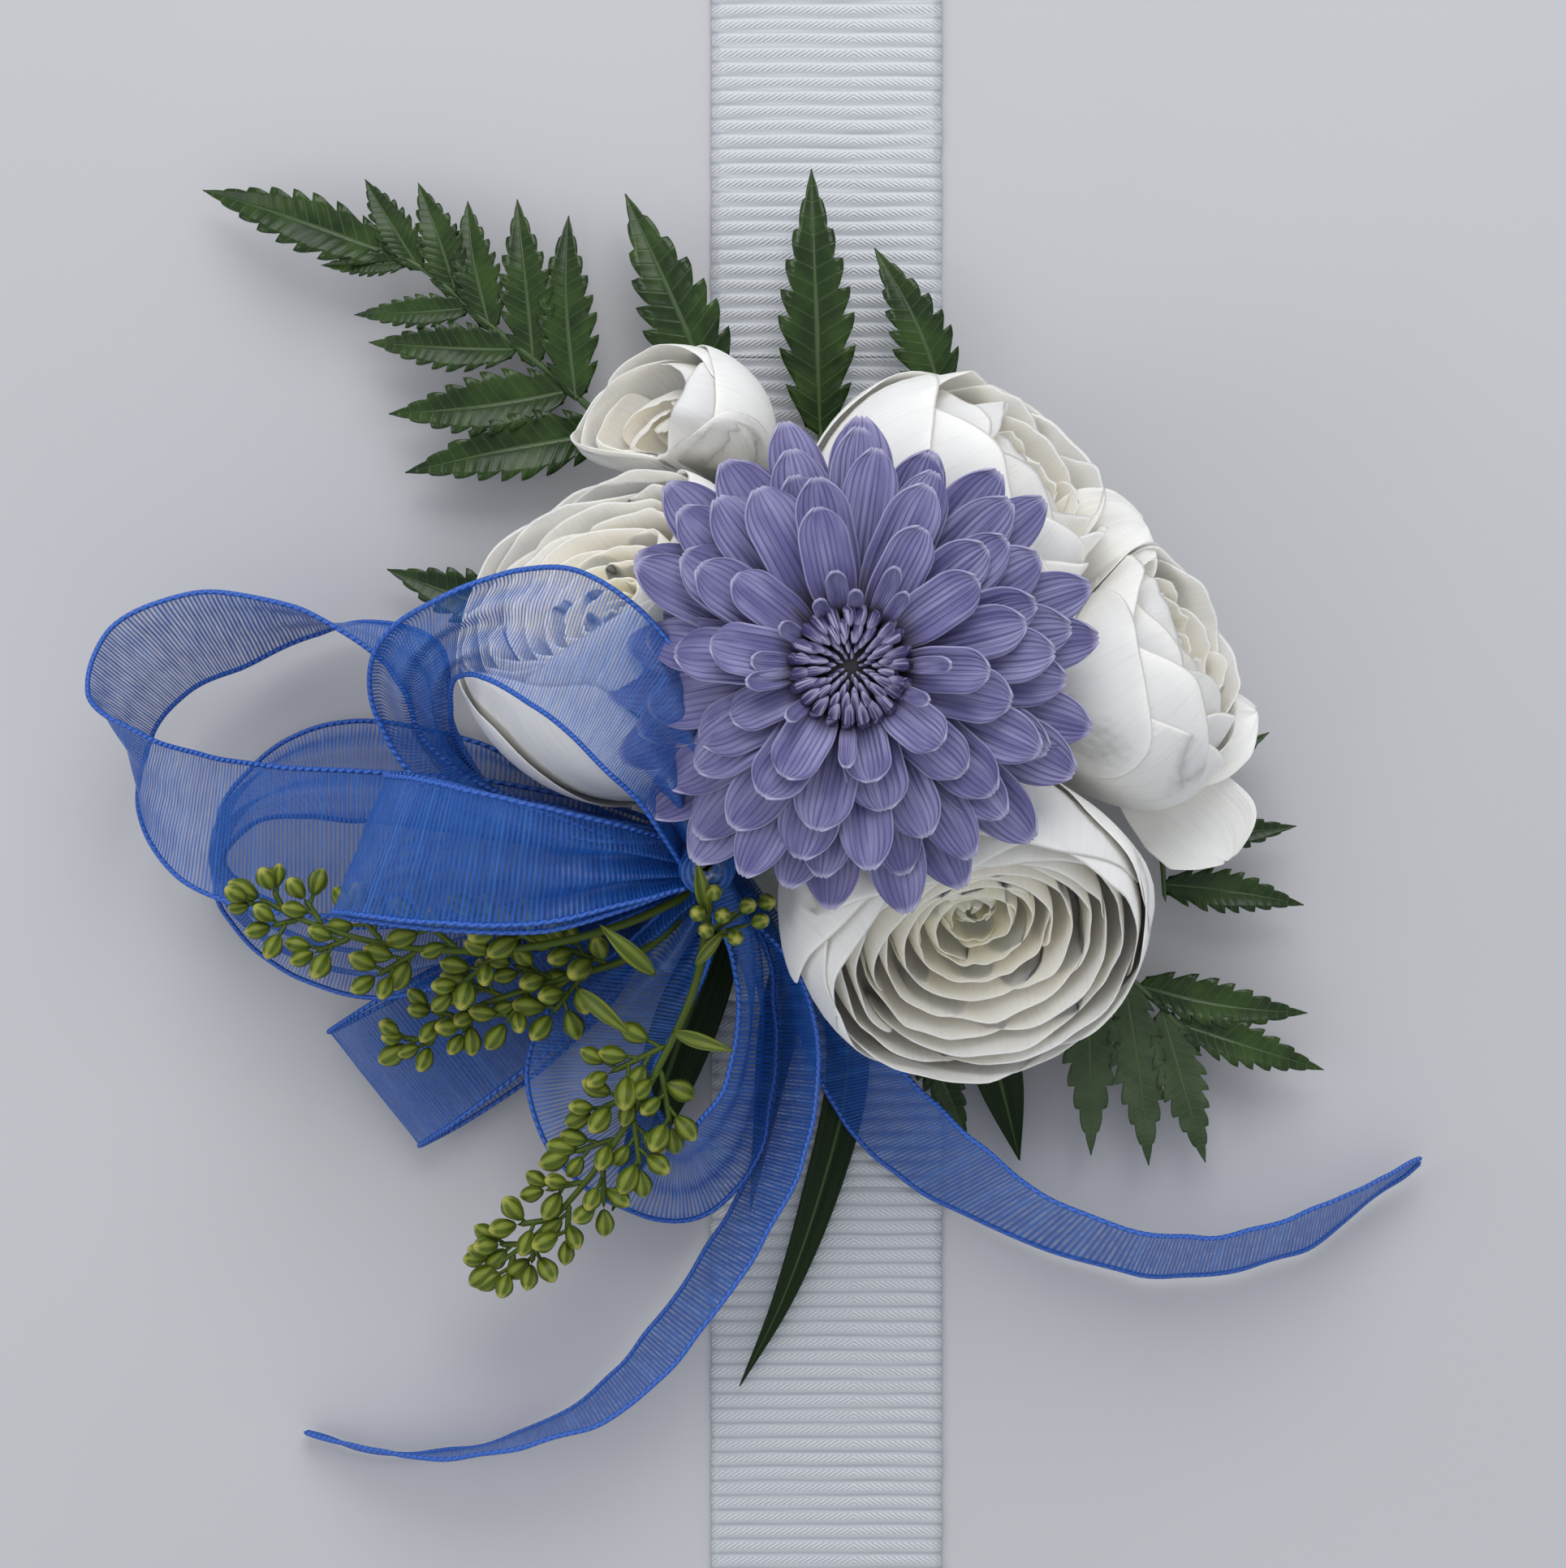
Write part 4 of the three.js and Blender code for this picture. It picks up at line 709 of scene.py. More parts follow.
stem_surface = stem_material()
for name, (radius, centre, _, _) in blooms.items():
    foot = petal_places[name](0, 0, 0.97)
    away = (foot - Vector(centre) * mm).normalized()
    top = foot + away * calyx_gap
    neck = top + away * calyx_height
    level = max(neck.z, stem_level)
    start = Vector((neck.x, neck.y, level))
    inwards = Vector((binding_place.x - start.x, binding_place.y - start.y, 0)).normalized()
    end = Vector((binding_place.x, binding_place.y, level)) - inwards * (binding_radius + gather_gap)
    bend = neck.lerp(end, 0.2)
    stem_line = smooth_path((top.lerp(neck, 0.5), bend, end))
    calyx_line = smooth_path((top, top.lerp(neck, 0.5), neck))
    stem = rod("stem", stem_line, lambda along, turn: stem_radius * (1 + 0.06 * math.cos(5 * turn)), 16, 20)
    calyx = rod(
        "calyx", calyx_line,
        lambda along, turn: calyx_radius * (1 - 0.6 * along ** 2) * (1 + 0.07 * math.cos(5 * turn)), 30, 10,
    )
    piece = finished(joined("ranunculus_" + name + "_cut_stem", [stem, calyx]))
    piece.data.materials.append(stem_surface)
    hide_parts("ranunculus_" + name + "_stem")
    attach(piece, "root")


# The chrysanthemum stands on the binding above the other blooms. Its florets are long petals with
# lengthwise ribs and rounded, notched tips; they overlap in tiers round a disc of tight quills.
mum_base = 39.2 * mm
mum_tier_pitch = 1.45 * mm
mum_stem_radius = 1.5 * mm
mum_cup_radius = 5.6 * mm
floret_thickness = 0.3 * mm
floret_root = 3.2 * mm
floret_columns = 12
floret_rows = 16
floret_lines = 9
floret_stagger = 0.6 * mm
floret_arch = 1.1 * mm
# Each tier from the lowest up: florets, reach, rise of the tips and floret width in millimetres, and how
# much longer than the mean the ones on the upper side are, as a share.
mum_tiers = (
    (22, 26.2, 0.3, 6.5, 0.01),
    (20, 24.2, 1.3, 6.2, 0.02),
    (17, 21.4, 2.5, 6.2, 0.05),
    (13, 18.4, 3.5, 6, 0.1),
    (10, 14.8, 3.8, 5.1, 0.16),
)
# The front loop of the bow presses down the florets between these two turns.
pressed_turns = (math.radians(158), math.radians(238))
pressed_edge = math.radians(12)
pressed_from = 11 * mm
pressed_over = 10 * mm
pressed_drop = 5 * mm
lavender = (0.096, 0.087, 0.235, 1)
lavender_pale = (0.215, 0.204, 0.375, 1)
lavender_vein = (0.05, 0.045, 0.16, 1)
lavender_tip_and_rim_highlight = (0.42, 0.4, 0.56, 1)
floret_foot_and_painted_shade = (0.045, 0.035, 0.03, 1)


def floret_material():
    material, tree, inputs = surface(
        "chrysanthemum_floret",
        {"Roughness": 0.5, "Subsurface Weight": 0.15, "Subsurface Radius": (0.7, 0.7, 1),
         "Subsurface Scale": 0.8 * mm, "Specular IOR Level": 0.4, "Sheen Weight": 0.1},
    )
    places, counted, along = sheet_places(tree)
    across = maths(tree, "FRACT", counted)
    streaks = cloudy(tree, places, (30, 1.4, 1), 2, 0.2)
    sway = maths(tree, "MULTIPLY", streaks, 5)
    phase = maths(tree, "MULTIPLY_ADD", across, 2 * math.pi * floret_lines, sway)
    veins = maths(tree, "MULTIPLY_ADD", maths(tree, "COSINE", phase), 0.2, streaks)
    cloud = cloudy(tree, places, (2, 1.5, 1), 2)
    body = mixed(tree, stepped(tree, cloud, 0.3, 0.7), lavender, lavender_pale)
    veined = mixed(tree, stepped(tree, veins, 0.5, 0.78, 0, 0.8), body, lavender_vein)
    # The tips are paler in their own colour; the paler sides are painted highlight along the thin edges.
    sides = stepped(tree, off_middle(tree, across), 0.93, 1, 0, 0.35)
    edge = maths(tree, "MAXIMUM", sides, stepped(tree, along, 0.92, 1, 0, 0.8))
    tip_and_rim_highlighted = mixed(tree, edge, veined, lavender_tip_and_rim_highlight)
    # The foot is darkened to near black: partly the florets' own darker base, partly painted shade under the
    # tiers above.
    foot = stepped(tree, along, 0.1, 0.38, 0.97, 0)
    colour = mixed(tree, foot, tip_and_rim_highlighted, floret_foot_and_painted_shade)
    joined_up(tree, inputs, Base_Color=colour, Normal=bumped(tree, veins, 0.6, 0.25 * mm))
    return material


def pressed_at(out):
    """How far along its bend a pressed floret is at a distance out from the middle, from 0 to 1."""
    share = min(max((out - pressed_from) / pressed_over, 0), 1)
    return share * share * (3 - 2 * share)


def floret(index, turn, root, reach, base, rise, width, arch, curl, drop):
    """One floret from its root out to its tip, ribbed lengthwise and overlapping the next one."""
    seed = 3.7 * index
    bow = 0.05 * noise.noise(Vector((seed, 0.2, 0)))
    notch = 0.012 + 0.012 * noise.noise(Vector((seed, 5.2, 0)))
    tilt = 0.09 * noise.noise(Vector((seed, 9.1, 0))) + 0.07

    def shape(across, along):
        side = 2 * across - 1
        along = 0.5 * along + 0.5 * math.sin(math.pi * along / 2)
        swell = 0.34 + 0.66 * math.sin(math.pi * min(along / 0.52, 1) / 2) ** 1.2
        tip = math.sqrt(max(1 - max((along - 0.79) / 0.212, 0) ** 2, 0))
        half = 0.5 * width * swell * (0.08 + 0.92 * tip)
        lobes = notch * (math.cos(3 * math.pi * side) - 1) * along ** 6
        length = reach - root
        out = root + length * (along * (1 - 0.05 * abs(side) ** 2.5 * tip) + 0.5 * lobes)
        aside = side * half + bow * length * math.sin(math.pi * along / 1.2)
        ribs = 0.03 * width * math.cos(2.5 * math.pi * side) * math.sin(math.pi * min(along * 1.1, 1)) ** 0.5
        trough = 0.15 * width * side ** 2 * (1 - 0.6 * along)
        lift = base + rise * along ** 1.3 + arch * math.sin(math.pi * along ** 0.8) - curl * along ** 5
        height = lift + ribs + trough + tilt * width * side - drop * pressed_at(out)
        return (
            binding_place.x + out * math.cos(turn) - aside * math.sin(turn),
            binding_place.y + out * math.sin(turn) + aside * math.cos(turn),
            height,
        )

    return grid("floret", floret_columns, floret_rows, shape, lambda across, along: (across + index, along))


# A few small florets by the disc have only half opened: the turn of each in degrees, and in millimetres
# how far out its tip is and how wide it is.
half_opened = (
    (100, 9.4, 2.2), (65, 10.6, 2), (86, 7.4, 1.5), (117, 7.2, 1.6), (52, 9, 1.6), (150, 8, 1.8),
    (177, 9.8, 2.2), (189, 10.4, 2), (0, 9.8, 1.8), (-25, 8.4, 1.6), (-93, 10, 1.8), (-140, 8.2, 1.6),
)
half_opened_base = 46.6 * mm
half_opened_root = 4.8 * mm
half_opened_arch = 0.9 * mm
half_opened_curl = -0.8 * mm

floret_surface = floret_material()
floret_index = 0
for tier, (count, reach, rise, width, upper_gain) in enumerate(mum_tiers):
    florets = []
    for step in range(count):
        chance = random.Random(100 * tier + step)
        turn = 2 * math.pi * (step + 0.38 * tier + 0.3 + chance.uniform(-0.2, 0.2)) / count
        turn %= 2 * math.pi
        length = reach * mm * chance.uniform(0.88, 1) * (1 + upper_gain * math.sin(turn))
        base = mum_base + tier * mum_tier_pitch + (floret_stagger if step % 2 else 0)
        lift = rise * mm * chance.uniform(0.6, 1.25)
        inside = min(turn - pressed_turns[0], pressed_turns[1] - turn) / pressed_edge
        drop = pressed_drop * min(max(inside, 0), 1)
        broad = width * mm * chance.uniform(0.88, 1.04)
        arch = floret_arch * chance.uniform(0.5, 1.3)
        curl = chance.uniform(0, 1.3) * mm
        florets.append(floret(floret_index, turn, floret_root, length, base, lift, broad, arch, curl, drop))
        floret_index += 1
    if tier == len(mum_tiers) - 1:
        for degrees, tip_out, wide in half_opened:
            rise = (3.2 + 0.8 * math.cos(3 * degrees)) * mm
            florets.append(
                floret(floret_index, math.radians(degrees), half_opened_root, tip_out * mm, half_opened_base,
                       rise, wide * mm, half_opened_arch, half_opened_curl, 0)
            )
            floret_index += 1
    piece = finished(joined("chrysanthemum_florets_%d" % (tier + 1), florets), floret_thickness, 1)
    piece.data.materials.append(floret_surface)
    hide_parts("mum_rays_%d" % (tier + 1))
    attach(piece, "root")


# The disc is a dome of quills rolled tight round a dark middle. The outer ones are the longest and stand
# with their round backs outwards, each curling in to a pale tip.
disc_base = 46.2 * mm
# Each ring from the outside in: quills, back radius, tip radius, back height, tip height, quill radius.
quill_rings = (
    (23, 5.7, 3.3, 1.4, 3.5, 0.66),
    (20, 4.3, 2.5, 2.7, 4, 0.5),
    (17, 3.3, 1.9, 3.1, 4, 0.38),
    (13, 2.4, 1.25, 3, 3.6, 0.3),
    (9, 1.6, 0.7, 2.6, 3.1, 0.24),
)
disc_core_radius = 4.4 * mm
disc_core_height = 2.6 * mm
quill_colour = (0.042, 0.035, 0.11, 1)
quill_tip_colour = (0.36, 0.34, 0.5, 1)
disc_dark_and_painted_shade = (0.014, 0.013, 0.01, 1)


def quill_material():
    material, tree, inputs = surface("chrysanthemum_quill", {"Roughness": 0.5, "Specular IOR Level": 0.35})
    places, _, along = sheet_places(tree)
    streaks = cloudy(tree, places, (12, 1, 1), 2)
    lines = stepped(tree, streaks, 0.46, 0.64, 0, 0.75)
    lines = maths(tree, "MULTIPLY", lines, stepped(tree, along, 0.2, 0.6))
    shade = maths(tree, "MAXIMUM", stepped(tree, along, 0.6, 1, 0, 0.8), lines)
    colour = mixed(tree, shade, quill_colour, quill_tip_colour)
    # The core is the disc's own dark middle; the darkening at each quill's root, down between the quills, is
    # painted shade.
    dark_middle_and_root_shade = mixed(tree, stepped(tree, along, 0, 0.25), disc_dark_and_painted_shade, colour)
    joined_up(tree, inputs, Base_Color=dark_middle_and_root_shade, Normal=bumped(tree, streaks, 0.5, 0.15 * mm))
    return material


def core_axis(along):
    return binding_place + Vector((0, 0, disc_base + along * disc_core_height))


def core_girth(along, turn):
    return disc_core_radius * math.sqrt(1 - along ** 2)


def quill(points, girth, flatness, shift):
    """A rolled quill along points, wider across than it is deep, with its widest place near its back."""

    def girth_at(along, turn):
        belly = math.sin(math.pi * min((0.12 + along) ** 0.8, 1)) ** 0.6
        flat = 1 + flatness * math.cos(2 * turn)
        return girth * (0.35 + 0.65 * belly) * flat * (1 + 0.08 * math.cos(5 * turn))

    return rod("quill", smooth_path(points), girth_at, 11, 12, lambda across, along: (across + shift, along))


quills = [rod("core", core_axis, core_girth, 24, 8, lambda across, along: (across, 0.05))]
for ring, (count, back_out, tip_out, back_height, tip_height, girth) in enumerate(quill_rings):
    for step in range(count):
        chance = random.Random(900 + 50 * ring + step)
        turn = 2 * math.pi * (step + 0.5 * (ring % 2) + chance.uniform(-0.15, 0.15)) / count
        way = Vector((math.cos(turn), math.sin(turn), 0))
        tip_reach = tip_out * chance.uniform(0.86, 1.14)
        high = tip_height * chance.uniform(0.94, 1.06)
        places = (
            (back_out - 0.9, back_height - 1.8), (back_out, back_height),
            (0.5 * (back_out + tip_reach), high - 0.1), (tip_reach, high),
        )
        points = [binding_place + way * out * mm + Vector((0, 0, disc_base + up * mm)) for out, up in places]
        quills.append(quill(points, girth * mm, 0.08, ring + step))
disc = finished(joined("chrysanthemum_disc", quills))
disc.data.materials.append(quill_material())
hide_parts("mum_disc")
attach(disc, "root")

# Its own green stem carries it up from the binding and widens into a cup under the florets.
mum_stem_line = smooth_path([binding_place + Vector((0, 0, height * mm)) for height in (13.7, 22, 30, 38.9)])


def mum_stem_girth(along, turn):
    widening = max((along - 0.82) / 0.18, 0)
    return mum_stem_radius + (mum_cup_radius - mum_stem_radius) * math.sin(math.pi * widening / 2) ** 1.5


piece = finished(rod("chrysanthemum_stem", mum_stem_line, mum_stem_girth, 24, 60))
piece.data.materials.append(stem_surface)
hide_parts("mum_stem")
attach(piece, "root")


# Leatherleaf fern: each leaflet is stiff and glossy, with forward teeth and a sunken midrib that side
# veins leave at a slant. The leaflets grow on both sides of a thin stem.
fern_thickness = 0.26 * mm
fern_stem_radius = 0.5 * mm
fern_teeth = 8
leaflet_columns = 10
leaflet_rows = 54
fern_colour = (0.008, 0.023, 0.003, 1)
fern_light_colour = (0.025, 0.054, 0.007, 1)
fern_vein_colour = (0.05, 0.085, 0.03, 1)
fern_back_colour = (0.028, 0.048, 0.018, 1)
fern_back_light_colour = (0.05, 0.076, 0.034, 1)
fern_back_leaflets = {"fern_frond_lower_right": (2, 3, 4)}
# Each spray: its stem from under the blooms out, and its leaflets as base, tip and width as a share of
# length, in millimetres.
fern_sprays = {
    "fern_frond_left": {
        "stem": (
            (-13, 27, 3.3), (-20, 35, 3.8), (-28, 43, 5.5), (-36.8, 50, 6.6), (-44.5, 56.4, 7),
            (-52, 59.5, 7),
        ),
        "leaflets": (
            (-47, 57.5, 7, -68.3, 65, 5, 0.3), (-44.2, 55.8, 7, -50.4, 66, 6, 0.38),
            (-40.2, 52.6, 6.8, -44.6, 65.6, 6, 0.38), (-36.6, 49.2, 6.6, -39.2, 63.6, 6, 0.38),
            (-32, 45.4, 6, -33.8, 63.8, 6, 0.33), (-27.4, 41.8, 5.5, -28.2, 62, 6, 0.33),
            (-45.5, 56.8, 7, -55.2, 56.6, 6, 0.3), (-38.8, 51.8, 6.8, -51.6, 51.2, 6, 0.3),
            (-33.6, 47.4, 6.2, -50, 48.2, 6, 0.34), (-28, 43, 5.5, -47.8, 40.4, 6, 0.36),
            (-23.6, 38.6, 4.6, -46, 34, 6, 0.33),
        ),
    },
    "fern_sprig_upper": {
        "stem": (
            (-6, 29, 3.3), (-9, 36, 3.8), (-12, 41, 4.6),
        ),
        "leaflets": (
            (-11, 39.5, 4.4, -22, 64.4, 6, 0.33), (-12, 41, 4.6, -16, 46.6, 5, 0.4),
        ),
    },
    "fern_leaf_top": {
        "stem": (
            (-0.4, 28, 3.3), (-0.6, 36, 4), (-0.8, 44, 5),
        ),
        "leaflets": (
            (-0.7, 38, 4.3, -1.7, 67.1, 6, 0.29),
        ),
    },
    "fern_leaf_top_right": {
        "stem": (
            (10, 30, 3.3), (13, 36, 4), (13.4, 41, 5),
        ),
        "leaflets": (
            (13.4, 39.5, 4.7, 5.2, 58.5, 6, 0.34),
        ),
    },
    "fern_leaf_left": {
        "stem": (
            (-19, 14, 3.3), (-27, 16.5, 3.9), (-33, 18.4, 4.6),
        ),
        "leaflets": (
            (-30, 17.4, 4.2, -48.1, 23.5, 5, 0.36),
        ),
    },
    "fern_frond_right": {
        "stem": (
            (22, 4, 3.3), (30, 1, 3.9), (36, -6, 4.6), (37, -13, 5),
        ),
        "leaflets": (
            (33.4, -2.6, 4.2, 48.2, 5.6, 6, 0.3), (36, -6, 4.6, 51.2, -4.6, 6, 0.3),
            (36.6, -11, 4.8, 52, -13.2, 6, 0.32),
        ),
    },
    "fern_frond_lower_right": {
        "stem": (
            (20, -12, 3.3), (27, -17, 3.9), (34, -22, 5), (39, -27, 6),
        ),
        "leaflets": (
            (34, -22, 5, 52.4, -25, 6, 0.3), (38, -26, 5.8, 54.2, -31.2, 6, 0.3),
            (28.5, -18, 4.2, 28.9, -40.6, 5, 0.3), (32.5, -21, 4.7, 35.2, -41.7, 5, 0.3),
            (36.5, -24.5, 5.5, 41.4, -41.4, 5, 0.32),
        ),
    },
    "fern_leaf_bottom": {
        "stem": (
            (5, -16, 3.3), (8, -22, 3.6), (10, -28, 4),
        ),
        "leaflets": (
            (9, -25, 3.8, 15.4, -38.8, 4, 0.34),
        ),
    },
}


def fern_material(name, colour, light_colour, roughness):
    material, tree, inputs = surface(name, {"Roughness": roughness, "Specular IOR Level": 0.26})
    _, across, along = sheet_places(tree)
    midrib = stepped(tree, off_middle(tree, across), 0.02, 0.1, 1, 0)
    phase = maths(tree, "MULTIPLY", along, 2 * math.pi * 2 * fern_teeth)
    vein = stepped(tree, maths(tree, "COSINE", phase), 0.8, 1)
    cloud = cloudy(tree, solid_places(tree), 260, 4)
    body = mixed(tree, stepped(tree, cloud, 0.35, 0.7), colour, light_colour)
    lines = maths(tree, "MAXIMUM", midrib, maths(tree, "MULTIPLY", vein, 0.35))
    height = maths(tree, "SUBTRACT", maths(tree, "MULTIPLY", cloud, 0.8), lines)
    joined_up(tree, inputs, Base_Color=mixed(tree, lines, body, fern_vein_colour),
              Normal=bumped(tree, height, 0.5, 0.2 * mm))
    return material


def leaflet(base, tip, width_share, seed):
    """One leaflet from its base to its tip: its rows slant forwards like its veins."""
    base, tip = Vector(base) * mm, Vector(tip) * mm
    span = tip - base
    length = span.length
    ahead = span.normalized()
    aside = Vector((-ahead.y, ahead.x, 0)).normalized()
    above = ahead.cross(aside) * -1
    if above.z < 0:
        above.negate()
    bow = 0.05 * noise.noise(Vector((seed, 1.5, 0)))

    def shape(across, along):
        side = 2 * across - 1
        tooth = (along * fern_teeth) % 1
        swell = math.sin(math.pi * (0.1 + 0.9 * along) ** 0.7)
        depth = 0.52 - 0.2 * along
        round_tooth = 1 - depth + depth * math.sin(math.pi * (0.05 + 0.48 * tooth))
        saw = round_tooth if abs(side) > 0.99 else 0.9 - 0.14 * abs(side)
        half = 0.5 * width_share * length * max(swell, 0.02) * saw
        forward = abs(side) * half * 0.75 * (1 - along) ** 0.5
        quilt = 0.012 * length * math.cos(4 * math.pi * along * fern_teeth) * abs(side) * swell * 0.35
        fold = 0.1 * half * abs(side) + 0.5 * half * side ** 2 * 0.25
        droop = 0.06 * length * (math.sin(math.pi * along) - 0.4 * along)
        place = base + ahead * min(along * length + forward, length)
        place += aside * (side * half + bow * length * math.sin(math.pi * along))
        return place + above * (droop + fold + quilt)

    return grid("leaflet", leaflet_columns, leaflet_rows, shape)


def plain_rod(name, points, radius, taper=0.5, sides=8, rows=24):
    path = smooth_path([Vector(point) * mm for point in points])
    return rod(name, path, lambda along, turn: radius * (1 - taper * along), sides, rows,
               lambda across, along: (0.5, along))


fern_front = fern_material("fern_leaflet", fern_colour, fern_light_colour, 0.22)
fern_back = fern_material("fern_underside", fern_back_colour, fern_back_light_colour, 0.55)
for name, spray in fern_sprays.items():
    stem = finished(plain_rod(name + "_rachis", spray["stem"], fern_stem_radius))
    stem.data.materials.append(fern_front)
    for index, (x, y, z, tip_x, tip_y, tip_z, width_share) in enumerate(spray["leaflets"]):
        piece = leaflet((x, y, z), (tip_x, tip_y, tip_z), width_share, 3.1 * index + x)
        piece = finished(piece, fern_thickness)
        piece.name = "%s_leaflet_%d" % (name, index + 1)
        turned = index in fern_back_leaflets.get(name, ())
        piece.data.materials.append(fern_back if turned else fern_front)
        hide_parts(name)
        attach(piece, "root")
    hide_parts(name)
    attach(stem, "root")


# Smooth leaves: long satin blades with a sunken midrib and fine parallel veins, tucked in under the bow and
# the lower blooms. Their near-black green is partly their own deep colour and partly painted shade from the
# bow and blooms above them.
leaf_thickness = 0.25 * mm
leaf_green_and_painted_shade = (0.006, 0.014, 0.004, 1)
leaf_light_green_and_painted_shade = (0.015, 0.029, 0.009, 1)
# Each leaf: half its width and the line of its midrib from its hidden end to its tip, in millimetres.
smooth_leaves = {
    "blade_long": {
        "half_width": 2.4,
        "spine": (
            (0.5, -18, 2.8), (1.9, -25, 2.7), (2.2, -33, 1.8), (-1, -46, 2), (-5, -57, 2.6),
            (-9.6, -66.4, 1.8),
        ),
    },
    "blade_short": {
        "half_width": 2.2,
        "spine": (
            (-3.6, -17, 2.8), (-5, -24.5, 2.7), (-6.4, -34, 1.6), (-8.4, -47, 1.5),
        ),
    },
    "leaf_lower_left": {
        "half_width": 3.6,
        "spine": (
            (-11, -15, 2.9), (-15, -25, 3.4), (-19, -36, 3.6), (-23.6, -47, 2.4),
        ),
    },
    "leaf_pointed": {
        "half_width": 3.2,
        "spine": (
            (15, -16, 2.9), (17, -25, 3.2), (19.4, -34, 3.4), (21.2, -41.4, 2.6),
        ),
    },
}


def leaf_material():
    material, tree, inputs = surface("smooth_leaf", {"Roughness": 0.36, "Specular IOR Level": 0.1})
    places, across, _ = sheet_places(tree)
    midrib = stepped(tree, off_middle(tree, across), 0.03, 0.12, 1, 0)
    veins = cloudy(tree, places, (26, 1.2, 1), 2)
    body = mixed(tree, stepped(tree, veins, 0.35, 0.7), leaf_green_and_painted_shade, leaf_light_green_and_painted_shade)
    height = maths(tree, "SUBTRACT", veins, midrib)
    joined_up(tree, inputs, Base_Color=mixed(tree, midrib, body, fern_vein_colour),
              Normal=bumped(tree, height, 0.4, 0.2 * mm))
    return material


leaf_surface = leaf_material()
for name, leaf in smooth_leaves.items():
    path = smooth_path([Vector(point) * mm for point in leaf["spine"]])

    def leaf_shape(across, along, path=path, half_width=leaf["half_width"] * mm):
        side = 2 * across - 1
        ahead = path(min(along + 0.01, 1)) - path(max(along - 0.01, 0))
        aside = Vector((ahead.y, -ahead.x, 0)).normalized()
        wide = half_width * (0.02 + 0.98 * math.sin(math.pi * (0.1 + 0.9 * along) ** 0.8))
        wave = 0.06 * noise.noise(Vector((side, 6 * along, 0)))
        return path(along) + aside * side * wide + Vector((0, 0, wide * (0.22 * abs(side) ** 1.4 + wave)))

    piece = finished(grid(name + "_leaf", 10, 44, leaf_shape), leaf_thickness, 1)
    piece.data.materials.append(leaf_surface)
    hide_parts(name)
    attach(piece, "root")


# Goldenrod: sprigs of closed buds. Each bud is a ribbed green spindle with a yellower tip on a thin
# stalk, and the stalks leave the side twigs one by one.
goldenrod_stem_radius = 0.5 * mm
goldenrod_twig_radius = 0.32 * mm
stalk_radius = 0.22 * mm
bud_length = 3.7 * mm
bud_radius = 1.2 * mm
buds_per_twig = 6
bud_ribs = 5
first_twig = 0.34
last_twig = 0.96
bud_colour = (0.062, 0.092, 0.006, 1)
bud_light_colour = (0.155, 0.19, 0.022, 1)
bud_tip_colour = (0.4, 0.38, 0.08, 1)
stalk_colour = (0.05, 0.08, 0.007, 1)
# Small narrow leaves, made with the lower sprig: where each starts and ends, in millimetres.
goldenrod_leaves = (
    ((-16.5, -26, 21), (-9.8, -28, 22.5)), ((-26.5, -21.5, 19.5), (-20.6, -26.6, 20)),
    ((-18, -20, 24), (-24, -14.5, 25)), ((-14, -19, 24), (-10.6, -14.8, 25)),
    ((-12.6, -13.4, 30), (-13.6, -7.6, 33.4)),
)
# The lower sprig's topmost buds stand in front of the bow's knot: the neck of each, in millimetres.
knot_buds = (
    (-9.2, -12.8, 29.4), (-11, -13.8, 29.8), (-13.2, -13.4, 30), (-8, -14.4, 28.6), (-10, -15.6, 28.6),
    (-12.4, -15.4, 28.8), (-7.4, -12.2, 28.4), (-12, -11.8, 31),
)
knot_bud_size = 0.72
# Each sprig: its twigs, the length of the longest one and the main stem from the bow wire to the tip, in
# millimetres.
goldenrod_sprigs = {
    "goldenrod_left": {
        "twigs": 10,
        "spread": 7.5,
        "stem": (
            (-14, -13, 15), (-22, -15, 17), (-34, -17.5, 19), (-46, -17, 20), (-55, -14.5, 20),
            (-60, -12, 20),
        ),
    },
    "goldenrod_middle": {
        "twigs": 9,
        "spread": 6.5,
        "stem": (
            (-13, -15, 11), (-20, -18, 13), (-29, -21, 14.5), (-38, -24, 14.5), (-45, -28, 13.5),
        ),
    },
    "goldenrod_lower": {
        "twigs": 13,
        "spread": 7.5,
        "stem": (
            (-12, -15, 19), (-14, -21, 20), (-18, -30, 19), (-24, -40, 17), (-31, -48, 15),
            (-35.5, -51.5, 14),
        ),
    },
}


def bud_material():
    material, tree, inputs = surface(
        "goldenrod_bud",
        {"Roughness": 0.45, "Specular IOR Level": 0.25, "Subsurface Weight": 0.1,
         "Subsurface Scale": 0.5 * mm},
    )
    _, across, along = sheet_places(tree)
    stripes = maths(tree, "COSINE", maths(tree, "MULTIPLY", across, 2 * math.pi * bud_ribs))
    body = mixed(tree, stepped(tree, stripes, -0.6, 0.7), bud_light_colour, bud_colour)
    cloud = cloudy(tree, solid_places(tree), 500, 2)
    tipped = mixed(tree, stepped(tree, along, 0.8, 1, 0, 0.9), body, bud_tip_colour)
    height = maths(tree, "SUBTRACT", cloud, maths(tree, "MULTIPLY", stripes, 0.6))
    green = stepped(tree, along, 0.02, 0.3, 1, 0)
    tipped = mixed(tree, maths(tree, "MULTIPLY", green, 0.8), tipped, stalk_colour)
    joined_up(tree, inputs, Base_Color=tipped, Normal=bumped(tree, height, 0.5, 0.2 * mm))
    return material


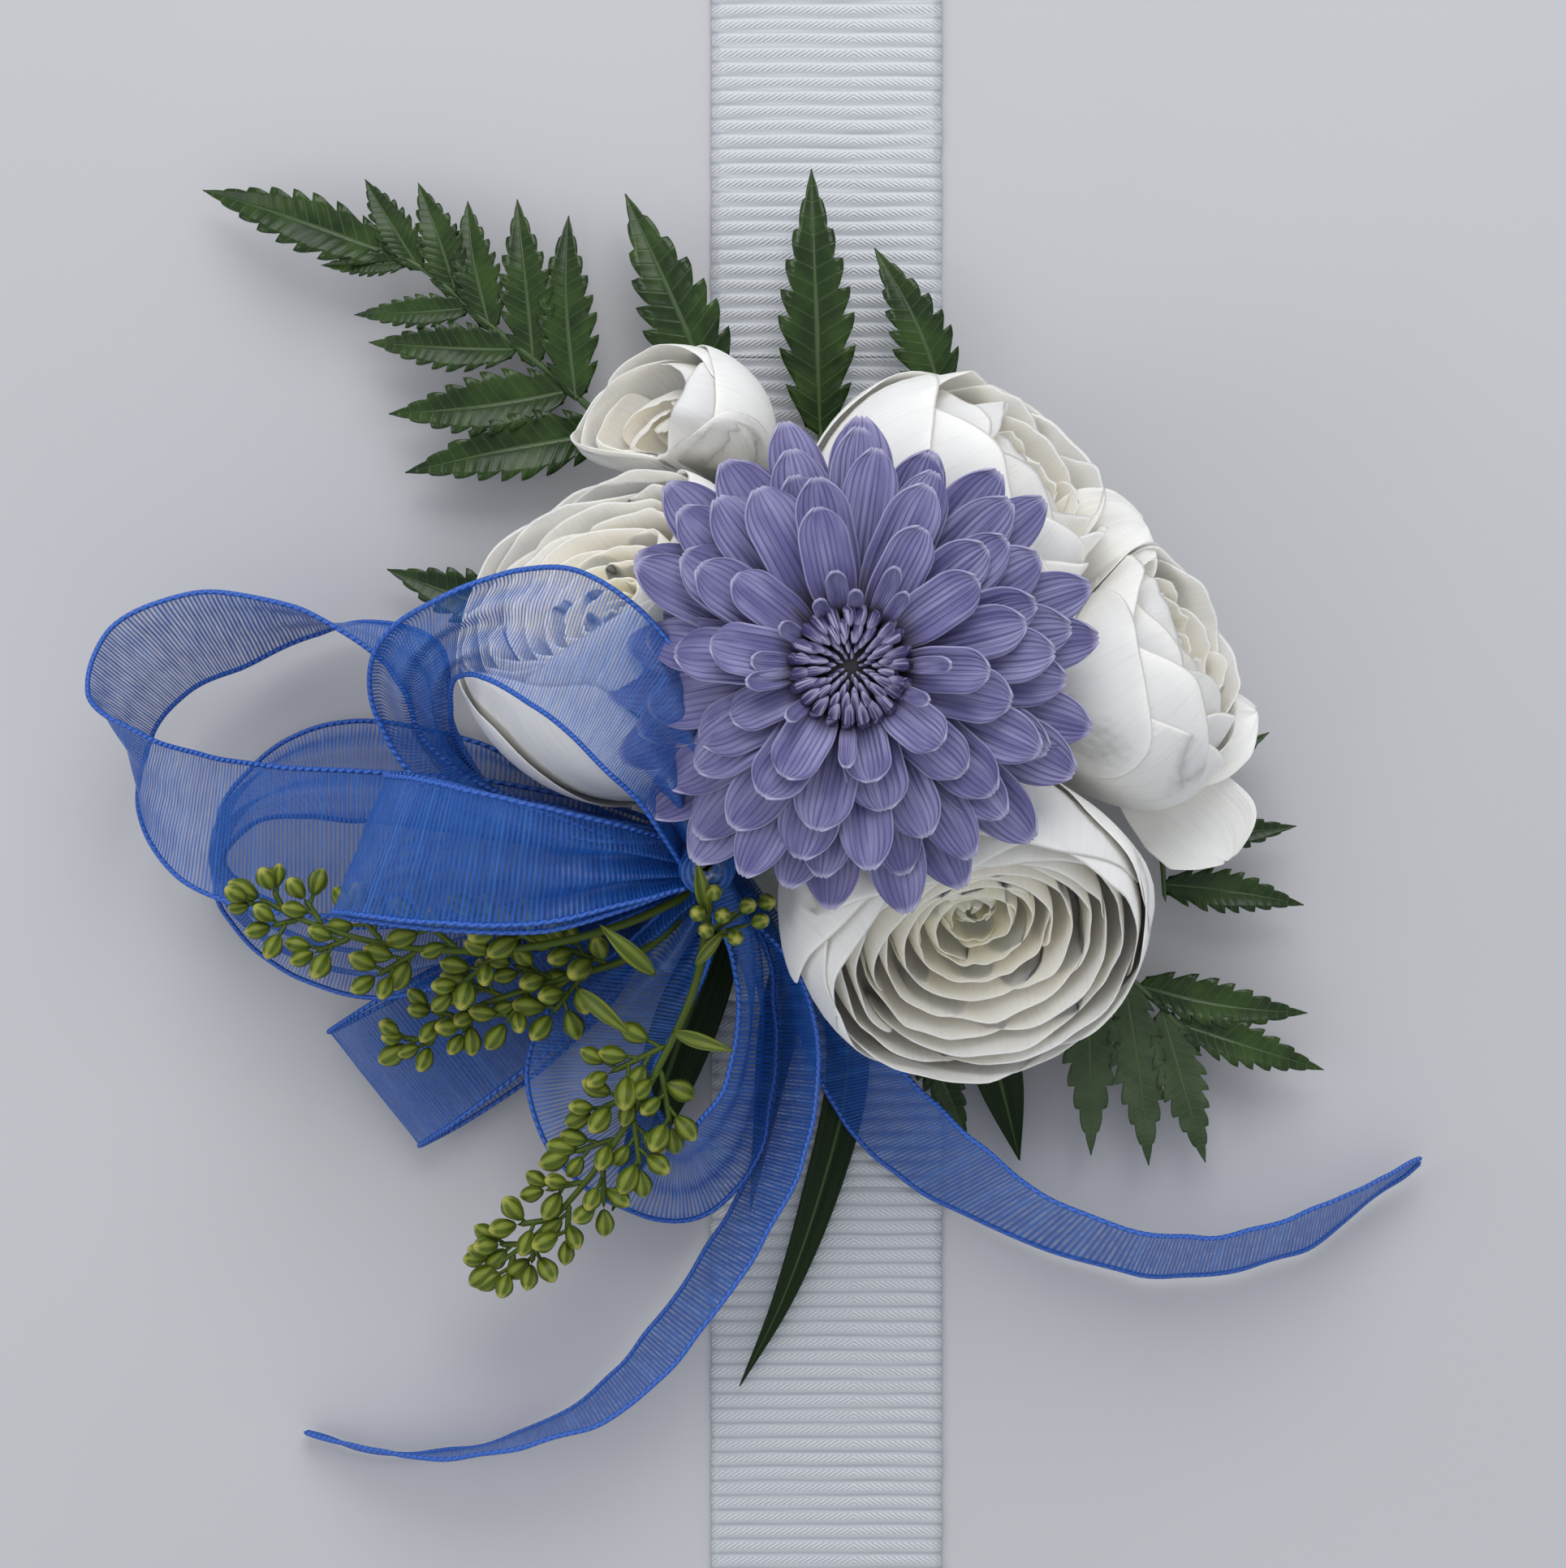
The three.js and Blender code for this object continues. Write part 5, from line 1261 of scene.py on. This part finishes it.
def bud(neck, way, size=1.0):
    """A closed bud from its neck on the stalk, pointing the way that it grows."""
    path = smooth_path([neck + way * bud_length * size * share for share in (0, 0.33, 0.66, 1)])

    def girth(along, turn):
        swell = math.sin(math.pi * (0.08 + 0.92 * along) ** 1.3) ** 0.85
        return bud_radius * size * (0.12 + 0.88 * swell) * (1 + 0.07 * math.cos(bud_ribs * turn))

    return rod("bud", path, girth, 14, 11, lambda across, along: (across, along))


def stalk(start, end, radius):
    sag = Vector((0, 0, -0.25 * mm))
    path = smooth_path((start, start.lerp(end, 0.5) + sag, end))
    return rod("stalk", path, lambda along, turn: radius, 6, 6, lambda across, along: (0.2, 0.1))


def small_leaf(start, end):
    """A narrow leaf of a sprig, a closed lens along the line from its start to its end."""
    span = end - start
    aside = Vector((-span.y, span.x, 0)).normalized() * 0.12 * span.length
    rise = Vector((0, 0, 0.1 * span.length))

    def shape(across, along):
        turn = 2 * math.pi * across
        wide = math.sin(math.pi * along ** 0.75) if 0 < along < 1 else 0
        hollow = 0.5 * abs(math.cos(turn)) * wide
        lift = math.sin(math.pi * along) + hollow + 0.16 * math.sin(turn) * wide
        return start + span * along + aside * math.cos(turn) * wide + rise * lift

    return weld(grid("small_leaf", 12, 14, shape, lambda across, along: (across, 0.1 + 0.2 * along)))


def from_wire(point, reach):
    """The point moved level with itself to lie just beside the wire that gathers the bow."""
    axis = Vector((wire_place.x, wire_place.y, point.z))
    return axis + (point - axis).normalized() * (wire_radius + gather_gap + reach)


bud_surface = bud_material()
for sprig_name, sprig in goldenrod_sprigs.items():
    points = [Vector(point) * mm for point in sprig["stem"]]
    points[0] = from_wire(points[0], goldenrod_stem_radius)
    main_line = smooth_path(points)
    parts = [rod("main", main_line, lambda along, turn: goldenrod_stem_radius * (1 - 0.5 * along), 10, 60,
                 lambda across, along: (0.2, 0.1))]
    for k in range(sprig["twigs"]):
        chance = random.Random(17 * k + len(sprig_name))
        along = first_twig + (last_twig - first_twig) * k / (sprig["twigs"] - 1)
        start = main_line(along)
        ahead = (main_line(min(along + 0.01, 1)) - main_line(along - 0.01)).normalized()
        aside = Vector((ahead.y, -ahead.x, 0)).normalized() * (1 if k % 2 == 0 else -1)
        outward = k / (sprig["twigs"] - 1)
        length = sprig["spread"] * mm * (1 - 0.74 * outward)
        way = (ahead + 0.75 * aside + Vector((0, 0, 0.12 * math.cos(2.4 * k)))).normalized()
        end = start + way * length
        parts.append(stalk(start, end, goldenrod_twig_radius))
        for b in range(round(buds_per_twig - 4 * outward)):
            at = start.lerp(end, 1 - (0.17 + 0.12 * outward) * b)
            swing = 0 if b == 0 else chance.uniform(0.45, 1.1) * (1 if b % 2 == 0 else -1)
            face = Quaternion((0, 0, 1), swing) @ way
            face = (face + Vector((0, 0, chance.uniform(-0.3, 0.9)))).normalized()
            neck = at + face * (0 if b == 0 else chance.uniform(0.3, 1.6)) * mm
            if b:
                parts.append(stalk(at, neck + face * 0.3 * mm, stalk_radius))
            parts.append(bud(neck, face, chance.uniform(0.8, 1.08) * (1 - 0.2 * outward)))
    tip_way = (main_line(1) - main_line(0.98)).normalized()
    parts.append(bud(main_line(1), tip_way))
    if sprig_name == "goldenrod_lower":
        parts += [small_leaf(Vector(start) * mm, Vector(end) * mm) for start, end in goldenrod_leaves]
        fork = main_line(0.1)
        for index, place in enumerate(knot_buds):
            neck = Vector(place) * mm
            lean = Vector((0.4 * math.cos(2 * index), 0.4 * math.sin(3 * index), 0.2))
            face = (neck - fork).normalized() + lean
            parts.append(stalk(fork, neck, stalk_radius))
            parts.append(bud(neck, face.normalized(), knot_bud_size))
    piece = finished(joined(sprig_name + "_sprig", parts))
    piece.data.materials.append(bud_surface)
    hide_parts(sprig_name)
    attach(piece, "root")


# The bow is sheer organza ribbon: fine blue weft across open warp, with a wire in each beaded edge. It
# is gathered at the wire and opens into six loops and two tails, which hold the bends they were given.
ribbon_width = 16 * mm
weft_pitch = 0.43 * mm
warp_pitch = 0.55 * weft_pitch
ribbon_wave = 0.35 * mm
edge_radius = 0.27 * mm
edge_bead_pitch = 0.8 * mm
ribbon_columns = 28
pleat_share = 0.15
ribbon_steps_per_station = 9
organza_blue = (0.008, 0.078, 0.35, 1)
organza_painted_sheen_blue = (0.03, 0.17, 0.54, 1)
edge_blue = (0.014, 0.095, 0.47, 1)
# Each stretch of ribbon by its stations: the middle of the ribbon in millimetres, and from it towards one
# edge, as a share of half the ribbon's width, shorter where the ribbon is gathered or curled.
ribbon_stations = {
    "bow_loop_far": (
        (-15.6, -6.6, 17, 0, 0.12, 0.1), (-24, -6.8, 14, 0.02, 0.55, 0.1), (-38, -6.6, 13, 0, 0.9, 0),
        (-50, -6.4, 13.5, 0, 0.97, 0), (-60, -5.8, 14, 0.02, 0.97, 0.1),
        (-68, -3.6, 14, 0.2, 0.85, 0.4), (-73.6, 1, 13.5, 0.15, 0.5, 0.8),
        (-76, 7, 13, -0.25, 0.3, 0.88), (-73, 13, 12.6, -0.36, 0.42, 0.8),
        (-65.4, 16.4, 12, -0.16, 0.46, 0.85), (-56, 17.6, 11.5, -0.02, 0.12, 0.95),
        (-49, 16, 11.5, 0.08, -0.24, 0.9), (-43.6, 12.6, 12, -0.22, -0.3, 0.8),
        (-41.6, 5, 12, -0.2, -0.1, 0.7), (-36, -1.6, 12.6, 0, 0, 0.6), (-27, -4, 14, 0, 0, 0.45),
        (-15.8, -5.6, 20, 0, 0.02, 0.18),
    ),
    "bow_loop_ring": (
        (-15.8, -8, 9, 0, 0.12, -0.12), (-26, -4.6, 7, 0, 0.4, -0.4), (-38, -0.6, 6.6, 0, 0.66, -0.46),
        (-50, 1.4, 6.4, 0, 0.7, -0.46), (-58, 0.6, 6.4, -0.2, 0.52, -0.5),
        (-64, -2.6, 6.4, -0.22, 0.2, -0.56), (-66.4, -8, 6.4, -0.1, 0, -0.6),
        (-64, -13.2, 6.4, -0.18, -0.16, -0.56), (-58, -17.4, 6.6, -0.12, -0.34, -0.5),
        (-50, -19.4, 7.5, 0, -0.4, -0.34), (-42, -18.4, 9.4, 0, -0.36, -0.16),
        (-30, -14.8, 10, 0, -0.3, -0.12), (-16.4, -10.4, 10.2, 0, -0.1, -0.1),
    ),
    "bow_loop_front": (
        (-14.6, -5.6, 28, 0.2, 0.1, 0.02), (-15, 0.6, 37, 0.5, 0.3, 0.12),
        (-18.4, 6.4, 40.6, 0.52, 0.62, 0.05), (-22.6, 11.2, 41, 0.36, 0.84, 0),
        (-27.6, 14.6, 40.6, 0.28, 0.84, 0), (-33.4, 16, 38.8, 0.2, 0.66, 0.1),
        (-39, 14.6, 35.4, -0.08, 0.5, 0.5), (-42.8, 10.6, 29.6, -0.44, 0.4, 0.5),
        (-43, 5.6, 24, -0.5, 0.2, 0.5), (-40, 0.6, 20.4, -0.36, -0.1, 0.62),
        (-34, -3.2, 19, -0.12, -0.2, 0.62), (-25, -5.6, 20.4, 0, -0.14, 0.5),
        (-15.8, -6.8, 23.4, 0, 0, 0.2),
    ),
    "bow_loop_fold": (
        (-15.4, -8.4, 27.4, 0.02, 0.16, 0.08), (-21, -8.4, 29, 0.04, 0.44, 0.18),
        (-30, -8.4, 30.4, 0.1, 0.74, 0.3), (-39, -7.4, 31, 0.2, 0.86, 0.3),
        (-46, -6.4, 30.4, 0.34, 0.88, 0.24), (-48.6, -6.2, 28.4, 0.36, 0.88, 0.18),
        (-46, -6.6, 26.4, 0.34, 0.94, 0), (-38, -8, 25.2, 0.2, 0.9, 0),
        (-29, -9.4, 24.6, 0.08, 0.74, 0), (-21, -9.6, 24.4, 0.02, 0.42, 0),
        (-15.6, -9.4, 24, 0, 0.14, 0.04),
    ),
    "bow_loop_low": (
        (-14.6, -11.4, 8.6, -0.06, 0.1, 0.04), (-20, -15, 7.4, -0.16, 0.3, 0),
        (-29, -20.4, 6.4, -0.42, 0.62, 0), (-39, -26.4, 6.2, -0.56, 0.74, 0),
        (-46.6, -31.4, 5.6, -0.62, 0.78, 0), (-49.6, -33.4, 4, -0.62, 0.78, 0),
        (-46.6, -32, 2.2, -0.62, 0.78, 0), (-38, -27, 2.4, -0.56, 0.76, 0),
        (-28, -20.6, 2.6, -0.4, 0.6, 0), (-20, -15.6, 3.2, -0.14, 0.2, 0),
        (-14.6, -12, 4.2, -0.06, 0.1, 0),
    ),
    "bow_loop_bottom": (
        (-12.8, -12, 17, 0.14, 0.02, 0), (-17, -18, 12, 0.56, -0.1, 0.1),
        (-23, -25, 10.6, 0.88, -0.1, 0.05), (-25.6, -31, 10.4, 0.86, 0.02, 0.06),
        (-24.6, -36.4, 10.4, 0.7, 0.38, 0.2), (-20.4, -41, 10.6, 0.4, 0.56, 0.46),
        (-15.4, -42.6, 11, -0.06, 0.6, 0.62), (-11.4, -39.4, 11.6, -0.4, 0.3, 0.76),
        (-8.6, -33, 12.4, -0.3, 0.06, 0.86), (-7.6, -25, 13.6, -0.2, 0, 0.8),
        (-8.6, -17.6, 15.6, -0.1, 0, 0.5), (-11.6, -12.2, 20.6, -0.03, 0, 0.2),
    ),
    "bow_tail_left": (
        (-10.2, -11.4, 12, 0.06, 0, 0.16), (-6.2, -16.6, 11.6, 0.14, 0, 0.6),
        (-3.6, -25, 11, 0.26, 0.05, 0.9), (-3.6, -34, 10.4, 0.3, 0.04, 0.9),
        (-6, -42.6, 10, 0.29, 0, 0.88), (-11, -51.4, 9, 0.26, -0.04, 0.85),
        (-17.6, -60.6, 8.8, 0.24, -0.06, 0.82), (-24.4, -67.2, 8.6, 0.15, -0.02, 0.9),
        (-33.4, -71.2, 8.2, 0.1, 0.07, 0.95), (-43, -73.2, 6.4, 0.07, 0.09, 0.72),
        (-51, -72.8, 3.8, 0.04, 0.07, 0.38), (-57.6, -71.4, 1.6, 0, 0.01, 0.06),
    ),
    "bow_tail_right": (
        (-10.2, -10.4, 7.4, 0.04, 0.02, 0.14), (-5.6, -16.6, 7.4, 0.16, 0.08, 0.3),
        (-0.4, -25.4, 8.2, 0.36, 0.12, 0.42), (4.4, -32.8, 8.4, 0.54, 0.16, 0.56),
        (10, -39, 8.4, 0.5, 0.3, 0.72), (19, -45.4, 8.4, 0.32, 0.32, 0.86),
        (33.4, -50.8, 8.8, 0.04, 0.36, 0.9), (42.4, -51, 8.8, -0.04, 0.37, 0.9),
        (52, -48.4, 8, -0.06, 0.36, 0.85), (60, -44.2, 5, -0.04, 0.16, 0.4),
        (65.3, -41.2, 3, 0, 0.03, 0.06),
    ),
}


def organza_material():
    material, tree, inputs = surface("blue_organza", {"Roughness": 0.38, "Specular IOR Level": 0.4})
    places, across, along = sheet_places(tree)
    slub = cloudy(tree, places, (300, 1800, 1), 2)
    weft_phase = maths(tree, "MULTIPLY", along, 2 * math.pi / weft_pitch)
    weft = stepped(tree, maths(tree, "COSINE", weft_phase), -0.35, 0.75)
    warp_phase = maths(tree, "MULTIPLY", across, 2 * math.pi / warp_pitch)
    warp = stepped(tree, maths(tree, "COSINE", warp_phase), 0.1, 0.9, 0, 0.4)
    thread = maths(tree, "MAXIMUM", weft, warp)
    # Painted sheen: lighter streaks along the ribbon stand for light reflected from its threads.
    painted_sheen_streaks = cloudy(tree, places, (40, 900, 1), 1)
    colour = mixed(tree, stepped(tree, painted_sheen_streaks, 0.45, 0.8, 0, 0.5), organza_blue, organza_painted_sheen_blue)
    cover = maths(tree, "MULTIPLY_ADD", thread, 0.55, stepped(tree, slub, 0.3, 0.7, 0.14, 0.3))
    facing = maths(tree, "SUBTRACT", 1, node(tree, "LayerWeight", {"Blend": 0.5}).outputs["Facing"])
    layers = maths(tree, "DIVIDE", 1, maths(tree, "MAXIMUM", facing, 0.12))
    seen_through = maths(tree, "POWER", maths(tree, "SUBTRACT", 1, cover), layers)
    joined_up(tree, inputs, Base_Color=colour, Alpha=maths(tree, "SUBTRACT", 1, seen_through),
              Normal=bumped(tree, thread, 0.3, 0.1 * mm))
    return material


def ribbon_edge_material():
    material, tree, inputs = surface("ribbon_edge", {"Roughness": 0.4, "Specular IOR Level": 0.6})
    _, across, along = sheet_places(tree)
    phase = maths(tree, "MULTIPLY_ADD", along, 2 * math.pi / edge_bead_pitch,
                  maths(tree, "MULTIPLY", across, 2 * math.pi))
    bead = maths(tree, "COSINE", phase)
    colour = mixed(tree, stepped(tree, bead, -0.8, 0.6), organza_blue, edge_blue)
    joined_up(tree, inputs, Base_Color=colour, Normal=bumped(tree, bead, 0.6, 0.15 * mm))
    return material


def ribbon_shape(stations, closes):
    """The ribbon's surface as shape(across, along), with pleats where it is gathered, and its length."""
    middles = [Vector(station[:3]) * mm for station in stations]
    middles[0] = from_wire(middles[0], 0)
    if closes:
        middles[-1] = from_wire(middles[-1], 0)
    middle = smooth_path(middles)
    half = smooth_path([Vector(station[3:]) * ribbon_width / 2 for station in stations])

    def shape(across, along):
        side = 2 * across - 1
        ahead = middle(min(along + 0.004, 1)) - middle(max(along - 0.004, 0))
        aside = half(along)
        normal = ahead.cross(aside)
        normal = normal.normalized() if normal.length > 1e-12 else Vector((0, 0, 1))
        taken = max(0, 1 - 2 * aside.length / ribbon_width)
        gathered = 1 if closes else max(0, 1 - 3 * along)
        pleat = pleat_share * ribbon_width * gathered * taken * math.sin(2.5 * math.pi * side + 4 * along)
        wave = ribbon_wave * side ** 2 * noise.noise(Vector((side, 22 * along, middles[1].x * 100)))
        return middle(along) + aside * side + normal * (pleat + wave)

    length = sum((middle((k + 1) / 200) - middle(k / 200)).length for k in range(200))
    return shape, length


organza = organza_material()
ribbon_edge = ribbon_edge_material()
for name, stations in ribbon_stations.items():
    shape, length = ribbon_shape(stations, "loop" in name)
    rows = ribbon_steps_per_station * (len(stations) - 1)
    piece = grid(name + "_ribbon", ribbon_columns, rows, shape,
                 lambda across, along: (across * ribbon_width, along * length))
    piece.data.materials.append(organza)
    piece = finished(piece)
    edges = []
    for side in (0, 1):
        edge = rod("edge", lambda along, side=side: shape(side, along), lambda along, turn: edge_radius, 6,
                   2 * rows, lambda across, along: (across, along * length))
        edges.append(edge)
    wired = finished(joined(name + "_wired_edges", edges))
    wired.data.materials.append(ribbon_edge)
    for part in (piece, wired):
        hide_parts(name)
        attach(part, "root")

# A last turn of the same ribbon is drawn tight round the wire and hides its top between the loops.
wrap_bottom = 20.6 * mm
wrap_top = 31.6 * mm
wrap_radius = 2.5 * mm
wrap_pleats = 6
wrap_pleat_depth = 0.42 * mm


def wrap_axis(along):
    return wire_place + Vector((0, 0, wrap_bottom + along * (wrap_top - wrap_bottom)))


def wrap_shape(across, along):
    turn = 2 * math.pi * across
    pleat = math.sin(2 * math.pi * wrap_pleats * along + 1.5 * math.sin(turn))
    reach = wrap_radius + wrap_pleat_depth * pleat
    reach *= 1 - 0.75 * max((along - 0.9) / 0.1, 0) ** 2
    return wrap_axis(along) + reach * Vector((math.cos(turn), math.sin(turn), 0))


wrap = grid("bow_knot_wrap", 30, 72, wrap_shape,
            lambda across, along: (across * 2 * math.pi * wrap_radius, along * ribbon_width))
wrap = finished(weld(wrap))
wrap.data.materials.append(organza)
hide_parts("bow_wire")
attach(wrap, "root")
